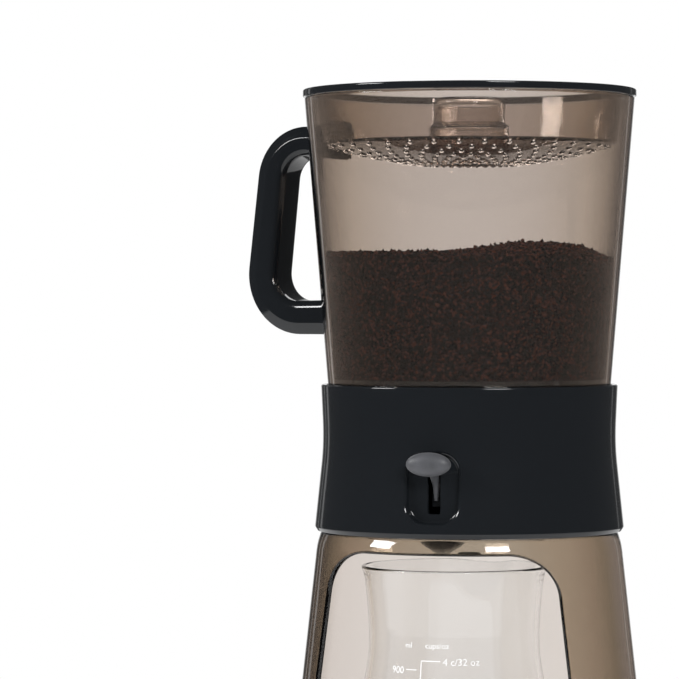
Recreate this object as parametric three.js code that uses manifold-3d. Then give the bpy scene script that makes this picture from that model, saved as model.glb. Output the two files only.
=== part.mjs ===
// Cold brew coffee maker, in millimetres with +Z up.
// The origin is the centre of the stand's underside, and the switch and the arch face -Y.
// From the ground up: smoke stand with an arch for the glass carafe, black collar with the switch,
// smoke brew container with its handle, filter, valve and ground coffee, and a perforated shower lid.

import * as THREE from 'three';
import { mergeVertices } from 'three/addons/utils/BufferGeometryUtils.js';
import Module from 'manifold-3d';

const wasm = await Module();
wasm.setup();

// How finely round forms are divided
const round_steps = 36;
const rod_steps = 12;
const bend_steps = 5;
const fillet_steps = 3;
const collar_steps = 8;

// Clearances between fitted pieces, and how far a cut runs past a face
const seat_gap = 0.3;
const running_gap = 0.08;
const guide_gap = 0.3;
const overrun = 4;

// Stand: a cone with a closed floor and an arch at the front
const stand_height = 166.5;
const stand_foot_r = 89.9;
const stand_top_r = 71.4;
const stand_wall = 2.8;
const stand_floor = 3;
const foot_lift = 0.5;
const foot_chamfer = 1.2;
const floor_fillet = 4;
const spigot_height = 2.7;
const pad_inset = 11.9;
const pad_thickness = 1.2;
const arch_top_drop = 7;
const arch_shoulder_drop = 22.5;
const arch_side_room = 8;
const arch_taper = 17;
const arch_corner_r = 17;

// Collar: the black ring that joins the stand to the container
const collar_height = 69;
const collar_foot_step = 1.9;
const collar_waist_draw = 4;
const collar_top_flare = 0.9;
const collar_waist_lift = 45;
const collar_wall = 2.6;
const collar_chamfer_width = 1.3;
const collar_chamfer_height = 1.9;
const collar_lip_r = 0.9;
const collar_seat_height = 7;
const ledge_width = 3.4;
const ledge_thickness = 2.2;
const ledge_lift = 46.4;

// Switch pocket in the collar's front, and its slot
const pocket_width = 26.5;
const pocket_height = 34.1;
const pocket_lift = 5.5;
const pocket_corner_r = 10;
const pocket_depth = 2.9;
const pocket_floor = 2.4;
const pocket_rim = 2;
const pocket_bevel = 1.1;
const slot_width = 6;
const slot_bottom_rise = 5.5;
const slot_top_margin = 1.8;

// Drip cover under the collar, with its nozzle and the bowl that the lever swings into
const cover_thickness = 2.5;
const funnel_r = 13.5;
const funnel_depth = 5;
const nozzle_bore_r = 3.6;
const nozzle_wall = 1.6;
const nozzle_length = 11.5;
const bowl_setback = 17.2;
const bowl_r = 14.3;
const bowl_depth = 10;
const bowl_wall = 1.5;
const bowl_outline_shares = [[0.3, 0], [0.75, 0.28], [0.95, 0.68]];
const ear_thickness = 3;
const ear_r = 5.2;
const ear_corner_r = 4.6;

// Screws that hold the drip cover to the collar's bosses
const screw_count = 4;
const screw_inset = 7.3;
const screw_head_r = 3.2;
const screw_head_height = 2;
const screw_r = 1.3;
const screw_length = 12;
const boss_r = 5;
const screw_start_angle = Math.PI / screw_count;

// Switch: a lever on a cross pin, worked by the knob in front
const pivot_y = -19;
const pivot_rise = 14;
const pin_r = 2;
const pin_length = 15;
const hub_r = 5;
const hub_width = 6.4;
const blade_width = 4.5;
const blade_top_rise = 17.2;
const blade_bottom_drop = 5;
const blade_depth = 18;
const blade_gap = 0.6;
const arm_end_r = 4.2;
const crown_r = 4;
const crown_rise = 5;
const neck_bottom_rise = 4.8;
const neck_top_rise = 17.2;
const tenon_length = 4;
const tenon_height = 5;
const tenon_width = 3.4;
const knob_width = 21;
const knob_height = 11;
const knob_thickness = 8.6;
const knob_standoff = 5.6;
const knob_rise = 15;
// Knob outline as [share of half width, share of thickness], from its back to its crown
const knob_outline_shares = [
  [0, 0],
  [0.84, 0],
  [1, 0.22],
  [0.98, 0.45],
  [0.86, 0.7],
  [0.6, 0.9],
  [0.28, 0.98],
  [0, 1],
];

// Deck inside the collar: carries the container and guides the push rod
const deck_thickness = 2.5;
const deck_ring_inset = 2.9;
const deck_ring_width = 1.8;
const deck_ring_height = 3;
const deck_rib_count = 6;
const deck_rib_height = 4;
const deck_rib_width = 1.8;
const drain_hole_count = 6;
const drain_hole_r = 2.4;
const drain_circle_r = 11;
const bush_wall = 2.8;
const bush_length = 13;
const rod_r = 2.4;
const rod_foot_r = 4.2;
const rod_foot_height = 1.6;
const rod_rise = 1;

// Brew container: a smoke cone, and its floor with the filter well
const container_height = 155;
const container_side_gap = 1.3;
const container_flare = 12.7;
const container_wall = 2.7;
const container_floor_lift = 22.1;
const container_floor = 2.5;
const floor_ledge_width = 2;
const floor_ledge_height = 2;
const well_r = 41;
const well_shoulder_width = 6;
const well_foot_gap = 3;
const well_wall = 2.3;
const drain_r = 5;

// Valve in the well floor, with its cage and spring
const stem_r = 1.8;
const stem_rise = 5.4;
const flange_r = 8;
const flange_thickness = 1.2;
const seal_r = 8.5;
const seal_thickness = 1.6;
const cage_r = 11.2;
const cage_wall = 1.2;
const cage_flange_r = 14;
const cage_height = 13;
const cage_hole_r = 2.6;
const cage_window_count = 4;
const cage_window_width = 6;
const cage_window_height = 7;
const spring_r = 3.9;
const spring_wire_r = 0.4;
const spring_turns = 3.5;
const spring_turn_steps = 8;
const spring_wire_sides = 5;

// Filter: a ring with spokes, a steel mesh disc and a silicone gasket
const filter_side_gap = 2.4;
const filter_height = 6.2;
const filter_ring_width = 3.3;
const filter_step_width = 1.3;
const filter_mesh_thickness = 0.6;
const filter_top_drop = 0.2;
const spoke_count = 4;
const spoke_width = 2.2;
const spoke_height = 1.4;
const spoke_hub_r = 6;
const gasket_height = 2.6;
const groove_depth = 1.2;
const groove_lift = 1.5;

// Ground coffee: a heap whose top rolls from side to side
const coffee_low_rise = 59;
const coffee_crest_rise = 5.9;
const coffee_crest_offset = 30;
const coffee_crest_spread = 30;
const coffee_edge_fall = 3.5;
const coffee_edge_share = 0.8;
const coffee_ring_shares = [1, 0.72, 0.38];

// Handle: a bevelled loop on the container's left
const handle_turn = THREE.MathUtils.degToRad(14);
const handle_top_drop = 11.9;
const handle_bottom_lift = 42.7;
const handle_top_stand = 31.1;
const handle_bottom_stand = 43.3;
const handle_top_bend_r = 26.5;
const handle_bottom_bend_r = 29;
const handle_width = 20;
const handle_top_thickness = 13.9;
const handle_bottom_thickness = 16.6;
const handle_bevel_depth = 5.5;
const handle_bevel_side = 2;
const handle_grip_r = 4;
const handle_root_depth = 5;
const handle_flare_length = 8;
const handle_flare_width = 5;
const handle_flare_height = 2;
const handle_bend_steps = 7;
const handle_root_shares = [0, 0.4, 0.75, 1];

// Shower lid: rim, dish wall, bowl of holes and hollow dome
const lid_overhang = 0.8;
const lid_rim_thickness = 3.4;
const lid_rim_edge = 0.7;
const lid_side_gap = 2.9;
const lid_wall_draft = 3;
const lid_wall_height = 22.6;
const lid_wall = 1.8;
const lid_bowl_depth = 9.5;
const lid_bowl_steps = 4;
const dome_skirt = 2;
const dome_r = 17;
const dome_foot_r = 19;
const dome_height = 31.7;
const dome_step_height = 16;
const dome_step_slope = 1.8;
const dome_edge_r = 3;
const lid_hole_r = 0.95;
const lid_hole_steps = 4;
const lid_ring_holes = 36;
// The rings of holes as shares of the way across the bowl, from the dome out
const lid_ring_shares = [0.09, 0.32, 0.445, 0.58, 0.75, 0.93];

// Carafe: waisted glass jug with a drawn spout, standing a little forward of the axis
const carafe_x = -3;
const carafe_y = -17;
const carafe_head_gap = 6.8;
const carafe_wall = 2.2;
const carafe_floor = 3.2;
const carafe_belly_r = 65;
const carafe_base_draw = 8;
const carafe_waist_r = 40;
const carafe_neck_flare = 2.9;
const carafe_belly_share = 0.157;
const carafe_waist_share = 0.772;
const carafe_rim_flare = 1.2;
const carafe_spout_angle = THREE.MathUtils.degToRad(83.5);
const carafe_spout_spread = THREE.MathUtils.degToRad(24);
const carafe_spout_reach = 6.5;
const carafe_spout_dip = 1.8;
const carafe_spout_height = 24;
const carafe_side_steps = 6;
// How the carafe's base, shoulder and neck bend, as powers of their shares
const carafe_base_power = 3;
const carafe_shoulder_power = 0.86;
const carafe_neck_power = 1.6;

// Heights and radii that follow from the sizes above
const pad_r = stand_foot_r - pad_inset;
const pad_top_z = pad_thickness;
const floor_under_z = pad_top_z + seat_gap;
const floor_top_z = floor_under_z + stand_floor;
const arch_top_z = stand_height - arch_top_drop;
const arch_shoulder_z = arch_top_z - arch_shoulder_drop;
const arch_foot_half = carafe_belly_r + arch_side_room;
const arch_shoulder_half = arch_foot_half - arch_taper;
const collar_foot_r = stand_top_r + collar_foot_step;
const collar_waist_r = collar_foot_r - collar_waist_draw;
const collar_top_r = collar_waist_r + collar_top_flare;
const collar_bore_r = collar_foot_r - collar_wall;
const collar_z = stand_height + seat_gap;
const collar_top_z = collar_z + collar_height;
const spigot_r = collar_bore_r - seat_gap;
const spigot_top_z = stand_height + spigot_height;
const cover_z = spigot_top_z + seat_gap;
const cover_top_z = cover_z + cover_thickness;
const screw_circle_r = collar_waist_r - screw_inset;
const pocket_z = collar_z + pocket_lift;
const pocket_floor_y = pocket_depth - collar_waist_r;
const bowl_y = pocket_floor_y + bowl_setback;
const knob_back_y = pocket_floor_y - knob_standoff;
const blade_r = pocket_floor_y + pocket_floor;
const pivot_z = cover_top_z + pivot_rise;
const ledge_top_z = collar_z + ledge_lift;
const deck_z = ledge_top_z + seat_gap;
const deck_top_z = deck_z + deck_thickness;
const container_foot_r = collar_waist_r - collar_wall - container_side_gap;
const container_top_r = container_foot_r + container_flare;
const container_z = deck_top_z + seat_gap;
const container_top_z = container_z + container_height;
const container_floor_z = container_z + container_floor_lift;
const deck_ring_r = container_foot_r - container_wall - deck_ring_inset;
const filter_r = well_r - filter_side_gap;
const filter_top_z = container_floor_z - filter_top_drop;
const filter_z = filter_top_z - filter_height;
const well_lower_r = well_r - well_shoulder_width;
const well_shoulder_z = filter_z - seat_gap;
const well_under_z = deck_top_z + well_foot_gap;
const well_floor_z = well_under_z + well_wall;
const crown_top_z = pivot_z + crown_rise + crown_r;
const rod_foot_z = crown_top_z + seat_gap;
const rod_top_z = deck_top_z + rod_rise;
const seal_z = well_floor_z + seat_gap;
const flange_z = seal_z + seal_thickness + seat_gap;
const flange_top_z = flange_z + flange_thickness;
const cage_z = well_floor_z + seat_gap;
const cage_top_z = cage_z + cage_height;
const coffee_z = container_floor_z + seat_gap;
const handle_top_z = container_top_z - handle_top_drop;
const handle_bottom_z = container_z + handle_bottom_lift;
const handle_top_reach = container_top_r + handle_top_stand;
const handle_bottom_reach = container_top_r + handle_bottom_stand;
const lid_rim_r = container_top_r + lid_overhang;
const lid_wall_top_r = container_top_r - container_wall - lid_side_gap;
const lid_wall_foot_r = lid_wall_top_r - lid_wall_draft;
const lid_flat_r = dome_foot_r + dome_skirt;
const lid_z = container_top_z + seat_gap;
const lid_wall_foot_z = lid_z - lid_wall_height;
const lid_bowl_z = lid_wall_foot_z - lid_bowl_depth;
const carafe_z = floor_top_z + seat_gap;
const carafe_height = cover_z - nozzle_length - carafe_head_gap - carafe_z;
const carafe_base_r = carafe_belly_r - carafe_base_draw;
const carafe_rim_r = carafe_waist_r + carafe_neck_flare;
const carafe_belly_rise = carafe_height * carafe_belly_share;
const carafe_waist_rise = carafe_height * carafe_waist_share;

// Radii of the turned walls at a height
function coneRadius(foot_r, top_r, foot_z, height) {
  return (z) => foot_r + ((top_r - foot_r) * (z - foot_z)) / height;
}
const standRadius = coneRadius(stand_foot_r, stand_top_r, 0, stand_height);
const containerRadius = coneRadius(container_foot_r, container_top_r, container_z, container_height);

function collarRadius(z) {
  const rise = z - collar_z;
  const below = rise < collar_waist_lift;
  const far_r = below ? collar_foot_r : collar_top_r;
  const span = below ? collar_waist_lift : collar_height - collar_waist_lift;
  const swing = Math.abs(rise - collar_waist_lift) / span;
  return collar_waist_r + ((far_r - collar_waist_r) * (1 - Math.cos(Math.PI * swing))) / 2;
}

// Geometry helpers
function signedVolume(position, index) {
  const [a, b, c] = [new THREE.Vector3(), new THREE.Vector3(), new THREE.Vector3()];
  let total = 0;
  for (let i = 0; i < index.length; i += 3) {
    a.fromBufferAttribute(position, index[i]);
    b.fromBufferAttribute(position, index[i + 1]);
    c.fromBufferAttribute(position, index[i + 2]);
    total += a.dot(b.cross(c));
  }
  return total;
}

// A closed geometry as a solid whose faces point out
function solidOf(geometry, place) {
  const bare = geometry.clone();
  if (place) bare.applyMatrix4(place);
  bare.deleteAttribute('normal');
  bare.deleteAttribute('uv');
  const merged = mergeVertices(bare);
  const all = merged.index.array;
  const index = [];
  for (let i = 0; i < all.length; i += 3) {
    const [a, b, c] = [all[i], all[i + 1], all[i + 2]];
    if (a !== b && b !== c && c !== a) index.push(a, b, c);
  }
  if (signedVolume(merged.attributes.position, index) < 0) index.reverse();
  return new wasm.Manifold(
    new wasm.Mesh({
      numProp: 3,
      vertProperties: new Float32Array(merged.attributes.position.array),
      triVerts: new Uint32Array(index),
    }),
  );
}

// A profile of [radius, height] pairs turned about Z; it closes on itself or on the axis
function turnedGeometry(profile, steps = round_steps) {
  const points = profile.map(([radius, height]) => new THREE.Vector2(radius, height));
  const on_axis = profile[0][0] === 0 && profile[profile.length - 1][0] === 0;
  if (!on_axis) points.push(points[0].clone());
  return new THREE.LatheGeometry(points, steps).rotateX(Math.PI / 2);
}

function turned(profile, steps, place) {
  return solidOf(turnedGeometry(profile, steps), place);
}

function moveTo(x, y, z) {
  return new THREE.Matrix4().makeTranslation(x, y, z);
}

// An upright cylinder between two heights
function rod(radius, low_z, high_z, x = 0, y = 0, steps = rod_steps) {
  const profile = [[0, low_z], [radius, low_z], [radius, high_z], [0, high_z]];
  return turned(profile, steps, moveTo(x, y, 0));
}

// A cylinder along X at a height, centred on the middle plane
function crossRod(radius, length, y, z) {
  const profile = [[0, -length / 2], [radius, -length / 2], [radius, length / 2], [0, length / 2]];
  const place = moveTo(0, y, z).multiply(new THREE.Matrix4().makeRotationY(Math.PI / 2));
  return turned(profile, rod_steps, place);
}

// The vertex radius of a round hole whose flats clear a shaft
function holeRadius(shaft_r, gap) {
  return (shaft_r + gap) / Math.cos(Math.PI / rod_steps);
}

// An outline with rounded corners, from corners [x, y, radius]
function roundedOutline(corners) {
  const shape = new THREE.Shape();
  corners.forEach(([x, y, radius], i) => {
    const corner = new THREE.Vector2(x, y);
    const before = new THREE.Vector2(...corners[(i + corners.length - 1) % corners.length]);
    const after = new THREE.Vector2(...corners[(i + 1) % corners.length]);
    const back = before.sub(corner).normalize();
    const ahead = after.sub(corner).normalize();
    if (!radius) {
      if (i === 0) shape.moveTo(x, y);
      else shape.lineTo(x, y);
      return;
    }
    const half = Math.acos(back.dot(ahead)) / 2;
    const reach = radius / Math.tan(half);
    const middle = back.clone().add(ahead).normalize();
    const centre = corner.clone().addScaledVector(middle, radius / Math.sin(half));
    const from = corner.clone().addScaledVector(back, reach).sub(centre);
    const to = corner.clone().addScaledVector(ahead, reach).sub(centre);
    const start = centre.clone().add(from);
    if (i === 0) shape.moveTo(start.x, start.y);
    const clockwise = from.cross(to) < 0;
    shape.absarc(centre.x, centre.y, radius, from.angle(), to.angle(), clockwise);
  });
  return shape;
}

function boxOutline(low_x, high_x, low_y, high_y, radius = 0) {
  const corners = [[low_x, low_y], [high_x, low_y], [high_x, high_y], [low_x, high_y]];
  return roundedOutline(corners.map(([x, y]) => [x, y, radius]));
}

function extruded(shape, depth, basis, offset) {
  const geometry = new THREE.ExtrudeGeometry(shape, {
    depth,
    bevelEnabled: false,
    curveSegments: bend_steps,
  });
  const place = new THREE.Matrix4().makeBasis(...basis).setPosition(offset);
  return solidOf(geometry, place);
}

const axis_x = new THREE.Vector3(1, 0, 0);
const axis_y = new THREE.Vector3(0, 1, 0);
const axis_z = new THREE.Vector3(0, 0, 1);

// A side outline in (y, z) carried across from one x to another
function acrossX(shape, low_x, high_x) {
  return extruded(shape, high_x - low_x, [axis_y, axis_z, axis_x], new THREE.Vector3(low_x, 0, 0));
}

// A front outline in (x, z) carried back from one y to another
function alongY(shape, low_y, high_y) {
  const basis = [axis_x, axis_z, axis_y.clone().negate()];
  return extruded(shape, high_y - low_y, basis, new THREE.Vector3(0, high_y, 0));
}

// A plan outline in (x, y) raised from one z to another
function alongZ(shape, low_z, high_z) {
  return extruded(shape, high_z - low_z, [axis_x, axis_y, axis_z], new THREE.Vector3(0, 0, low_z));
}

// A bar that runs out from the axis at an angle, between two heights
function radialBar(angle, reach, width, low_z, high_z) {
  const along = axis_x.clone().applyAxisAngle(axis_z, angle);
  const across = axis_y.clone().applyAxisAngle(axis_z, angle);
  const outline = boxOutline(0, reach, -width / 2, width / 2);
  return extruded(outline, high_z - low_z, [along, across, axis_z], new THREE.Vector3(0, 0, low_z));
}

// The outline round two circles and their outer tangents, in (y, z)
function linkOutline(y1, z1, r1, y2, z2, r2) {
  const length = Math.hypot(y2 - y1, z2 - z1);
  const along = Math.atan2(z2 - z1, y2 - y1);
  const lean = Math.acos((r1 - r2) / length);
  const shape = new THREE.Shape();
  shape.absarc(y1, z1, r1, along + lean, along - lean, false);
  shape.absarc(y2, z2, r2, along - lean, along + lean, false);
  return shape;
}

function arcPoints(centre_r, centre_z, radius, from_angle, to_angle, steps = bend_steps) {
  return Array.from({ length: steps + 1 }, (_, i) => {
    const angle = from_angle + ((to_angle - from_angle) * i) / steps;
    return [centre_r + radius * Math.cos(angle), centre_z + radius * Math.sin(angle)];
  });
}

function spread(low, high, steps) {
  return Array.from({ length: steps + 1 }, (_, i) => low + ((high - low) * i) / steps);
}

function aroundAxis(count, start_angle, make) {
  return Array.from({ length: count }, (_, i) => make(start_angle + (2 * Math.PI * i) / count, i));
}

// Stand
function basePad() {
  return rod(pad_r, 0, pad_top_z, 0, 0, round_steps);
}

function standBody() {
  const inner = (z) => standRadius(z) - stand_wall;
  const fillet_top = floor_top_z + floor_fillet;
  const fillet_r = inner(fillet_top) - floor_fillet;
  const shell = turned([
    [0, floor_under_z],
    [pad_r + seat_gap, floor_under_z],
    [pad_r + seat_gap, foot_lift],
    [standRadius(foot_lift) - foot_chamfer, foot_lift],
    [standRadius(foot_lift + foot_chamfer), foot_lift + foot_chamfer],
    [stand_top_r, stand_height],
    [spigot_r, stand_height],
    [spigot_r, spigot_top_z],
    [inner(stand_height), spigot_top_z],
    [inner(stand_height), stand_height],
    ...arcPoints(fillet_r, fillet_top, floor_fillet, 0, -Math.PI / 2, fillet_steps),
    [0, floor_top_z],
  ]);
  const arch = roundedOutline([
    [-arch_foot_half, floor_top_z, 0],
    [arch_foot_half, floor_top_z, 0],
    [arch_shoulder_half, arch_shoulder_z, arch_corner_r],
    [arch_shoulder_half - arch_corner_r / 2, arch_top_z, arch_corner_r / 2],
    [-arch_shoulder_half + arch_corner_r / 2, arch_top_z, arch_corner_r / 2],
    [-arch_shoulder_half, arch_shoulder_z, arch_corner_r],
  ]);
  return shell.subtract(alongY(arch, -stand_foot_r - overrun, 0));
}

// Collar
function collarShell() {
  const lip_z = collar_top_z - collar_lip_r;
  const outer_z = spread(collar_z + collar_chamfer_height, lip_z, collar_steps);
  const inner_r = (z) => collarRadius(z) - collar_wall;
  const seat_top = collar_z + collar_seat_height;
  const below_ledge = spread(ledge_top_z - ledge_thickness, seat_top, fillet_steps);
  const lip_centre_r = collar_top_r - collar_lip_r;
  const lip = arcPoints(lip_centre_r, lip_z, collar_lip_r, 0, Math.PI / 2, fillet_steps - 1);
  return turned([
    [collar_bore_r, collar_z],
    [collar_foot_r - collar_chamfer_width, collar_z],
    ...outer_z.map((z) => [collarRadius(z), z]),
    ...lip.slice(1),
    [inner_r(collar_top_z), collar_top_z],
    [inner_r(ledge_top_z), ledge_top_z],
    [inner_r(ledge_top_z) - ledge_width, ledge_top_z],
    [inner_r(ledge_top_z) - ledge_width, ledge_top_z - ledge_thickness],
    ...below_ledge.map((z) => [inner_r(z), z]),
    [collar_bore_r, seat_top],
  ]);
}

function pocketOutline(inset) {
  const half = pocket_width / 2 - inset;
  const top = pocket_z + pocket_height - inset;
  return boxOutline(-half, half, pocket_z + inset, top, pocket_corner_r - inset);
}

function collar() {
  const backing = alongY(pocketOutline(-pocket_rim), -collar_waist_r, pocket_floor_y + pocket_floor);
  const front = -collar_foot_r - overrun;
  const pocket = alongY(pocketOutline(pocket_bevel), front, pocket_floor_y);
  const mouth = alongY(pocketOutline(0), front, -collar_waist_r + pocket_bevel);
  const slot = alongY(
    boxOutline(
      -slot_width / 2,
      slot_width / 2,
      pocket_z + slot_bottom_rise,
      pocket_z + pocket_height - slot_top_margin,
    ),
    front,
    pocket_floor_y + pocket_floor + overrun,
  );
  const column_top = ledge_top_z - ledge_thickness / 2;
  const bosses = screwPlaces().map(([x, y]) => rod(boss_r, cover_top_z + seat_gap, column_top, x, y));
  const pilot_top = cover_top_z + screw_length;
  const pilots = screwPlaces().map(([x, y]) =>
    rod(holeRadius(screw_r, guide_gap), cover_z, pilot_top, x, y),
  );
  let shell = collarShell().add(backing);
  bosses.forEach((boss) => (shell = shell.add(boss)));
  [pocket, mouth, slot, ...pilots].forEach((cut) => (shell = shell.subtract(cut)));
  return shell;
}

function screwPlaces() {
  return aroundAxis(screw_count, screw_start_angle, (angle) => [
    screw_circle_r * Math.cos(angle),
    screw_circle_r * Math.sin(angle),
  ]);
}

// Drip cover
function dripCover() {
  const cover_r = spigot_r;
  const nozzle_r = nozzle_bore_r + nozzle_wall;
  const nozzle_z = cover_z - nozzle_length;
  const plate = turned([
    [nozzle_bore_r, nozzle_z],
    [nozzle_r, nozzle_z],
    [nozzle_r + nozzle_wall / 2, cover_z - funnel_depth],
    [funnel_r + nozzle_wall, cover_z],
    [cover_r, cover_z],
    [cover_r, cover_top_z],
    [funnel_r, cover_top_z],
    [nozzle_bore_r, cover_top_z - funnel_depth],
  ]);
  const bowl_place = moveTo(0, bowl_y, 0);
  const bowlProfile = (radius, bottom_z, top_z) => [
    [0, bottom_z],
    ...bowl_outline_shares.map(([out, up]) => [radius * out, bottom_z + bowl_depth * up]),
    [radius, cover_z],
    [radius, top_z],
    [0, top_z],
  ];
  const bowl = turned(bowlProfile(bowl_r, cover_z - bowl_depth, cover_top_z), round_steps / 2, bowl_place);
  const hollow = turned(
    bowlProfile(bowl_r - bowl_wall, cover_z - bowl_depth + bowl_wall, cover_top_z + overrun),
    round_steps / 2,
    bowl_place,
  );
  const notch_half = pocket_width / 2 + pocket_rim + seat_gap;
  const notch = alongZ(
    boxOutline(-notch_half, notch_half, -cover_r - overrun, pocket_floor_y + pocket_floor + seat_gap),
    cover_z - overrun,
    cover_top_z + overrun,
  );
  const screw_holes = screwPlaces().map(([x, y]) =>
    rod(holeRadius(screw_r, guide_gap), cover_z - overrun, cover_top_z + overrun, x, y),
  );
  let cover = plate.add(bowl).subtract(hollow).subtract(notch);
  screw_holes.forEach((hole) => (cover = cover.subtract(hole)));
  const pin_hole = crossRod(pinHoleRadius(), pin_length + overrun, pivot_y, pivot_z);
  return cover.add(pinEar(-1)).add(pinEar(1)).subtract(pin_hole);
}

function pinHoleRadius() {
  return holeRadius(pin_r, running_gap);
}

function pinEar(side) {
  const near = hub_width / 2 + guide_gap;
  const low_y = pivot_y - ear_r;
  const high_y = pivot_y + ear_r;
  const low_z = cover_top_z - cover_thickness / 2;
  const outline = roundedOutline([
    [low_y, low_z, 0],
    [high_y, low_z, 0],
    [high_y, pivot_z + ear_r, ear_corner_r],
    [low_y, pivot_z + ear_r, ear_corner_r],
  ]);
  const [low_x, high_x] = [side * near, side * (near + ear_thickness)].sort((a, b) => a - b);
  return acrossX(outline, low_x, high_x);
}

function leverPin() {
  return crossRod(pin_r, pin_length, pivot_y, pivot_z);
}

function coverScrew(x, y) {
  const head_top = cover_z - seat_gap;
  const head = rod(screw_head_r, head_top - screw_head_height, head_top, x, y);
  return head.add(rod(screw_r, head_top - screw_head_height / 2, head_top + screw_length, x, y));
}

// Switch lever and knob
function switchLever() {
  const reach = pivot_y - blade_r - blade_gap;
  const top_lean = Math.asin(blade_top_rise / reach);
  const bottom_lean = Math.asin(blade_bottom_drop / reach);
  const blade_back = blade_r + blade_depth;
  const blade = new THREE.Shape();
  blade.absarc(pivot_y, pivot_z, reach, Math.PI - top_lean, Math.PI + bottom_lean, false);
  blade.lineTo(blade_back, pivot_z - blade_bottom_drop);
  blade.lineTo(blade_back, pivot_z + blade_top_rise);
  const arm = linkOutline(pivot_y, pivot_z, hub_r, blade_back, pivot_z + arm_end_r, arm_end_r);
  const tail = linkOutline(pivot_y, pivot_z, hub_r, 0, pivot_z + crown_rise, crown_r);
  const neck = boxOutline(
    knob_back_y + seat_gap,
    blade_r + blade_depth / 2,
    pivot_z + neck_bottom_rise,
    pivot_z + neck_top_rise,
  );
  const half = blade_width / 2;
  return [arm, tail, neck]
    .map((outline) => acrossX(outline, -half, half))
    .reduce((sum, solid) => sum.add(solid), acrossX(blade, -half, half))
    .add(crossRod(hub_r, hub_width, pivot_y, pivot_z))
    .add(knobTenon(0))
    .subtract(crossRod(pinHoleRadius(), hub_width + overrun, pivot_y, pivot_z));
}

// The lever's tip inside the knob, grown by a clearance for the knob's own pocket
function knobTenon(clearance) {
  const half = tenon_width / 2 + clearance;
  const middle = pivot_z + knob_rise;
  const outline = boxOutline(
    knob_back_y - tenon_length - clearance,
    knob_back_y + blade_width / 2 + clearance,
    middle - tenon_height / 2 - clearance,
    middle + tenon_height / 2 + clearance,
  );
  return acrossX(outline, -half, half);
}

function switchKnob() {
  const place = moveTo(0, knob_back_y, pivot_z + knob_rise)
    .multiply(new THREE.Matrix4().makeRotationX(Math.PI / 2))
    .multiply(new THREE.Matrix4().makeScale(knob_width / 2, knob_height / 2, knob_thickness));
  return turned(knob_outline_shares, round_steps / 2, place).subtract(knobTenon(seat_gap));
}

// Deck and push rod
function collarDeck() {
  const deck_r = collarRadius(deck_z) - collar_wall - seat_gap;
  const bush_r = rod_r + guide_gap + bush_wall;
  const bush_z = deck_top_z - bush_length;
  const ring_inner = deck_ring_r - deck_ring_width;
  const ring_top = deck_top_z + deck_ring_height;
  let deck = turned([
    [0, bush_z],
    [bush_r, bush_z],
    [bush_r, deck_z],
    [deck_r, deck_z],
    [deck_r, deck_top_z],
    [deck_ring_r, deck_top_z],
    [deck_ring_r, ring_top],
    [ring_inner, ring_top],
    [ring_inner, deck_top_z],
    [0, deck_top_z],
  ]);
  const rib_z = deck_z - deck_rib_height;
  const rib_top = deck_z + deck_thickness / 2;
  aroundAxis(deck_rib_count, Math.PI / deck_rib_count, (angle) => {
    deck = deck.add(radialBar(angle, ring_inner, deck_rib_width, rib_z, rib_top));
  });
  const low = rib_z - overrun;
  aroundAxis(drain_hole_count, 0, (angle) => {
    const [x, y] = [drain_circle_r * Math.cos(angle), drain_circle_r * Math.sin(angle)];
    deck = deck.subtract(rod(drain_hole_r, low, deck_top_z + overrun, x, y));
  });
  return deck.subtract(rod(holeRadius(rod_r, guide_gap), bush_z - overrun, deck_top_z + overrun));
}

function pushRod() {
  const foot_top = rod_foot_z + rod_foot_height;
  return turned(
    [
      [0, rod_foot_z],
      [rod_foot_r, rod_foot_z],
      [rod_foot_r, foot_top],
      [rod_r, foot_top],
      [rod_r, rod_top_z],
      [0, rod_top_z],
    ],
    rod_steps,
  );
}

// Brew container: the outer wall, with a ledge inside for the floor
function brewContainer() {
  const outer = containerRadius;
  const inner = (z) => containerRadius(z) - container_wall;
  const ledge_top = container_floor_z - container_floor - seat_gap;
  const ledge_under = ledge_top - floor_ledge_height;
  const ledge_r = inner(ledge_under) - floor_ledge_width;
  return turned([
    [inner(container_z), container_z],
    [outer(container_z), container_z],
    [outer(container_top_z), container_top_z],
    [inner(container_top_z), container_top_z],
    [inner(ledge_top), ledge_top],
    [ledge_r, ledge_top],
    [ledge_r, ledge_under],
    [inner(ledge_under), ledge_under],
  ]);
}

// The container's floor, with the stepped well for the filter and the valve
function filterWell() {
  const floor_under = container_floor_z - container_floor;
  const floor_r = containerRadius(floor_under) - container_wall - seat_gap;
  const shoulder_under = well_shoulder_z - well_wall;
  return turned([
    [drain_r, well_under_z],
    [well_lower_r + well_wall, well_under_z],
    [well_lower_r + well_wall, shoulder_under],
    [well_r + well_wall, shoulder_under],
    [well_r + well_wall, floor_under],
    [floor_r, floor_under],
    [floor_r, container_floor_z],
    [well_r, container_floor_z],
    [well_r, well_shoulder_z],
    [well_lower_r, well_shoulder_z],
    [well_lower_r, well_floor_z],
    [drain_r, well_floor_z],
  ]);
}

// Valve
function valveStem() {
  const low = rod_top_z + seat_gap;
  return turned(
    [
      [0, low],
      [stem_r, low],
      [stem_r, flange_z],
      [flange_r, flange_z],
      [flange_r, flange_top_z],
      [stem_r, flange_top_z],
      [stem_r, flange_top_z + stem_rise],
      [0, flange_top_z + stem_rise],
    ],
    round_steps / 2,
  );
}

function valveSeal() {
  const bore = stem_r + seat_gap;
  return turned(
    [
      [bore, seal_z],
      [seal_r, seal_z],
      [seal_r, seal_z + seal_thickness],
      [bore, seal_z + seal_thickness],
    ],
    round_steps / 2,
  );
}

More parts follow.
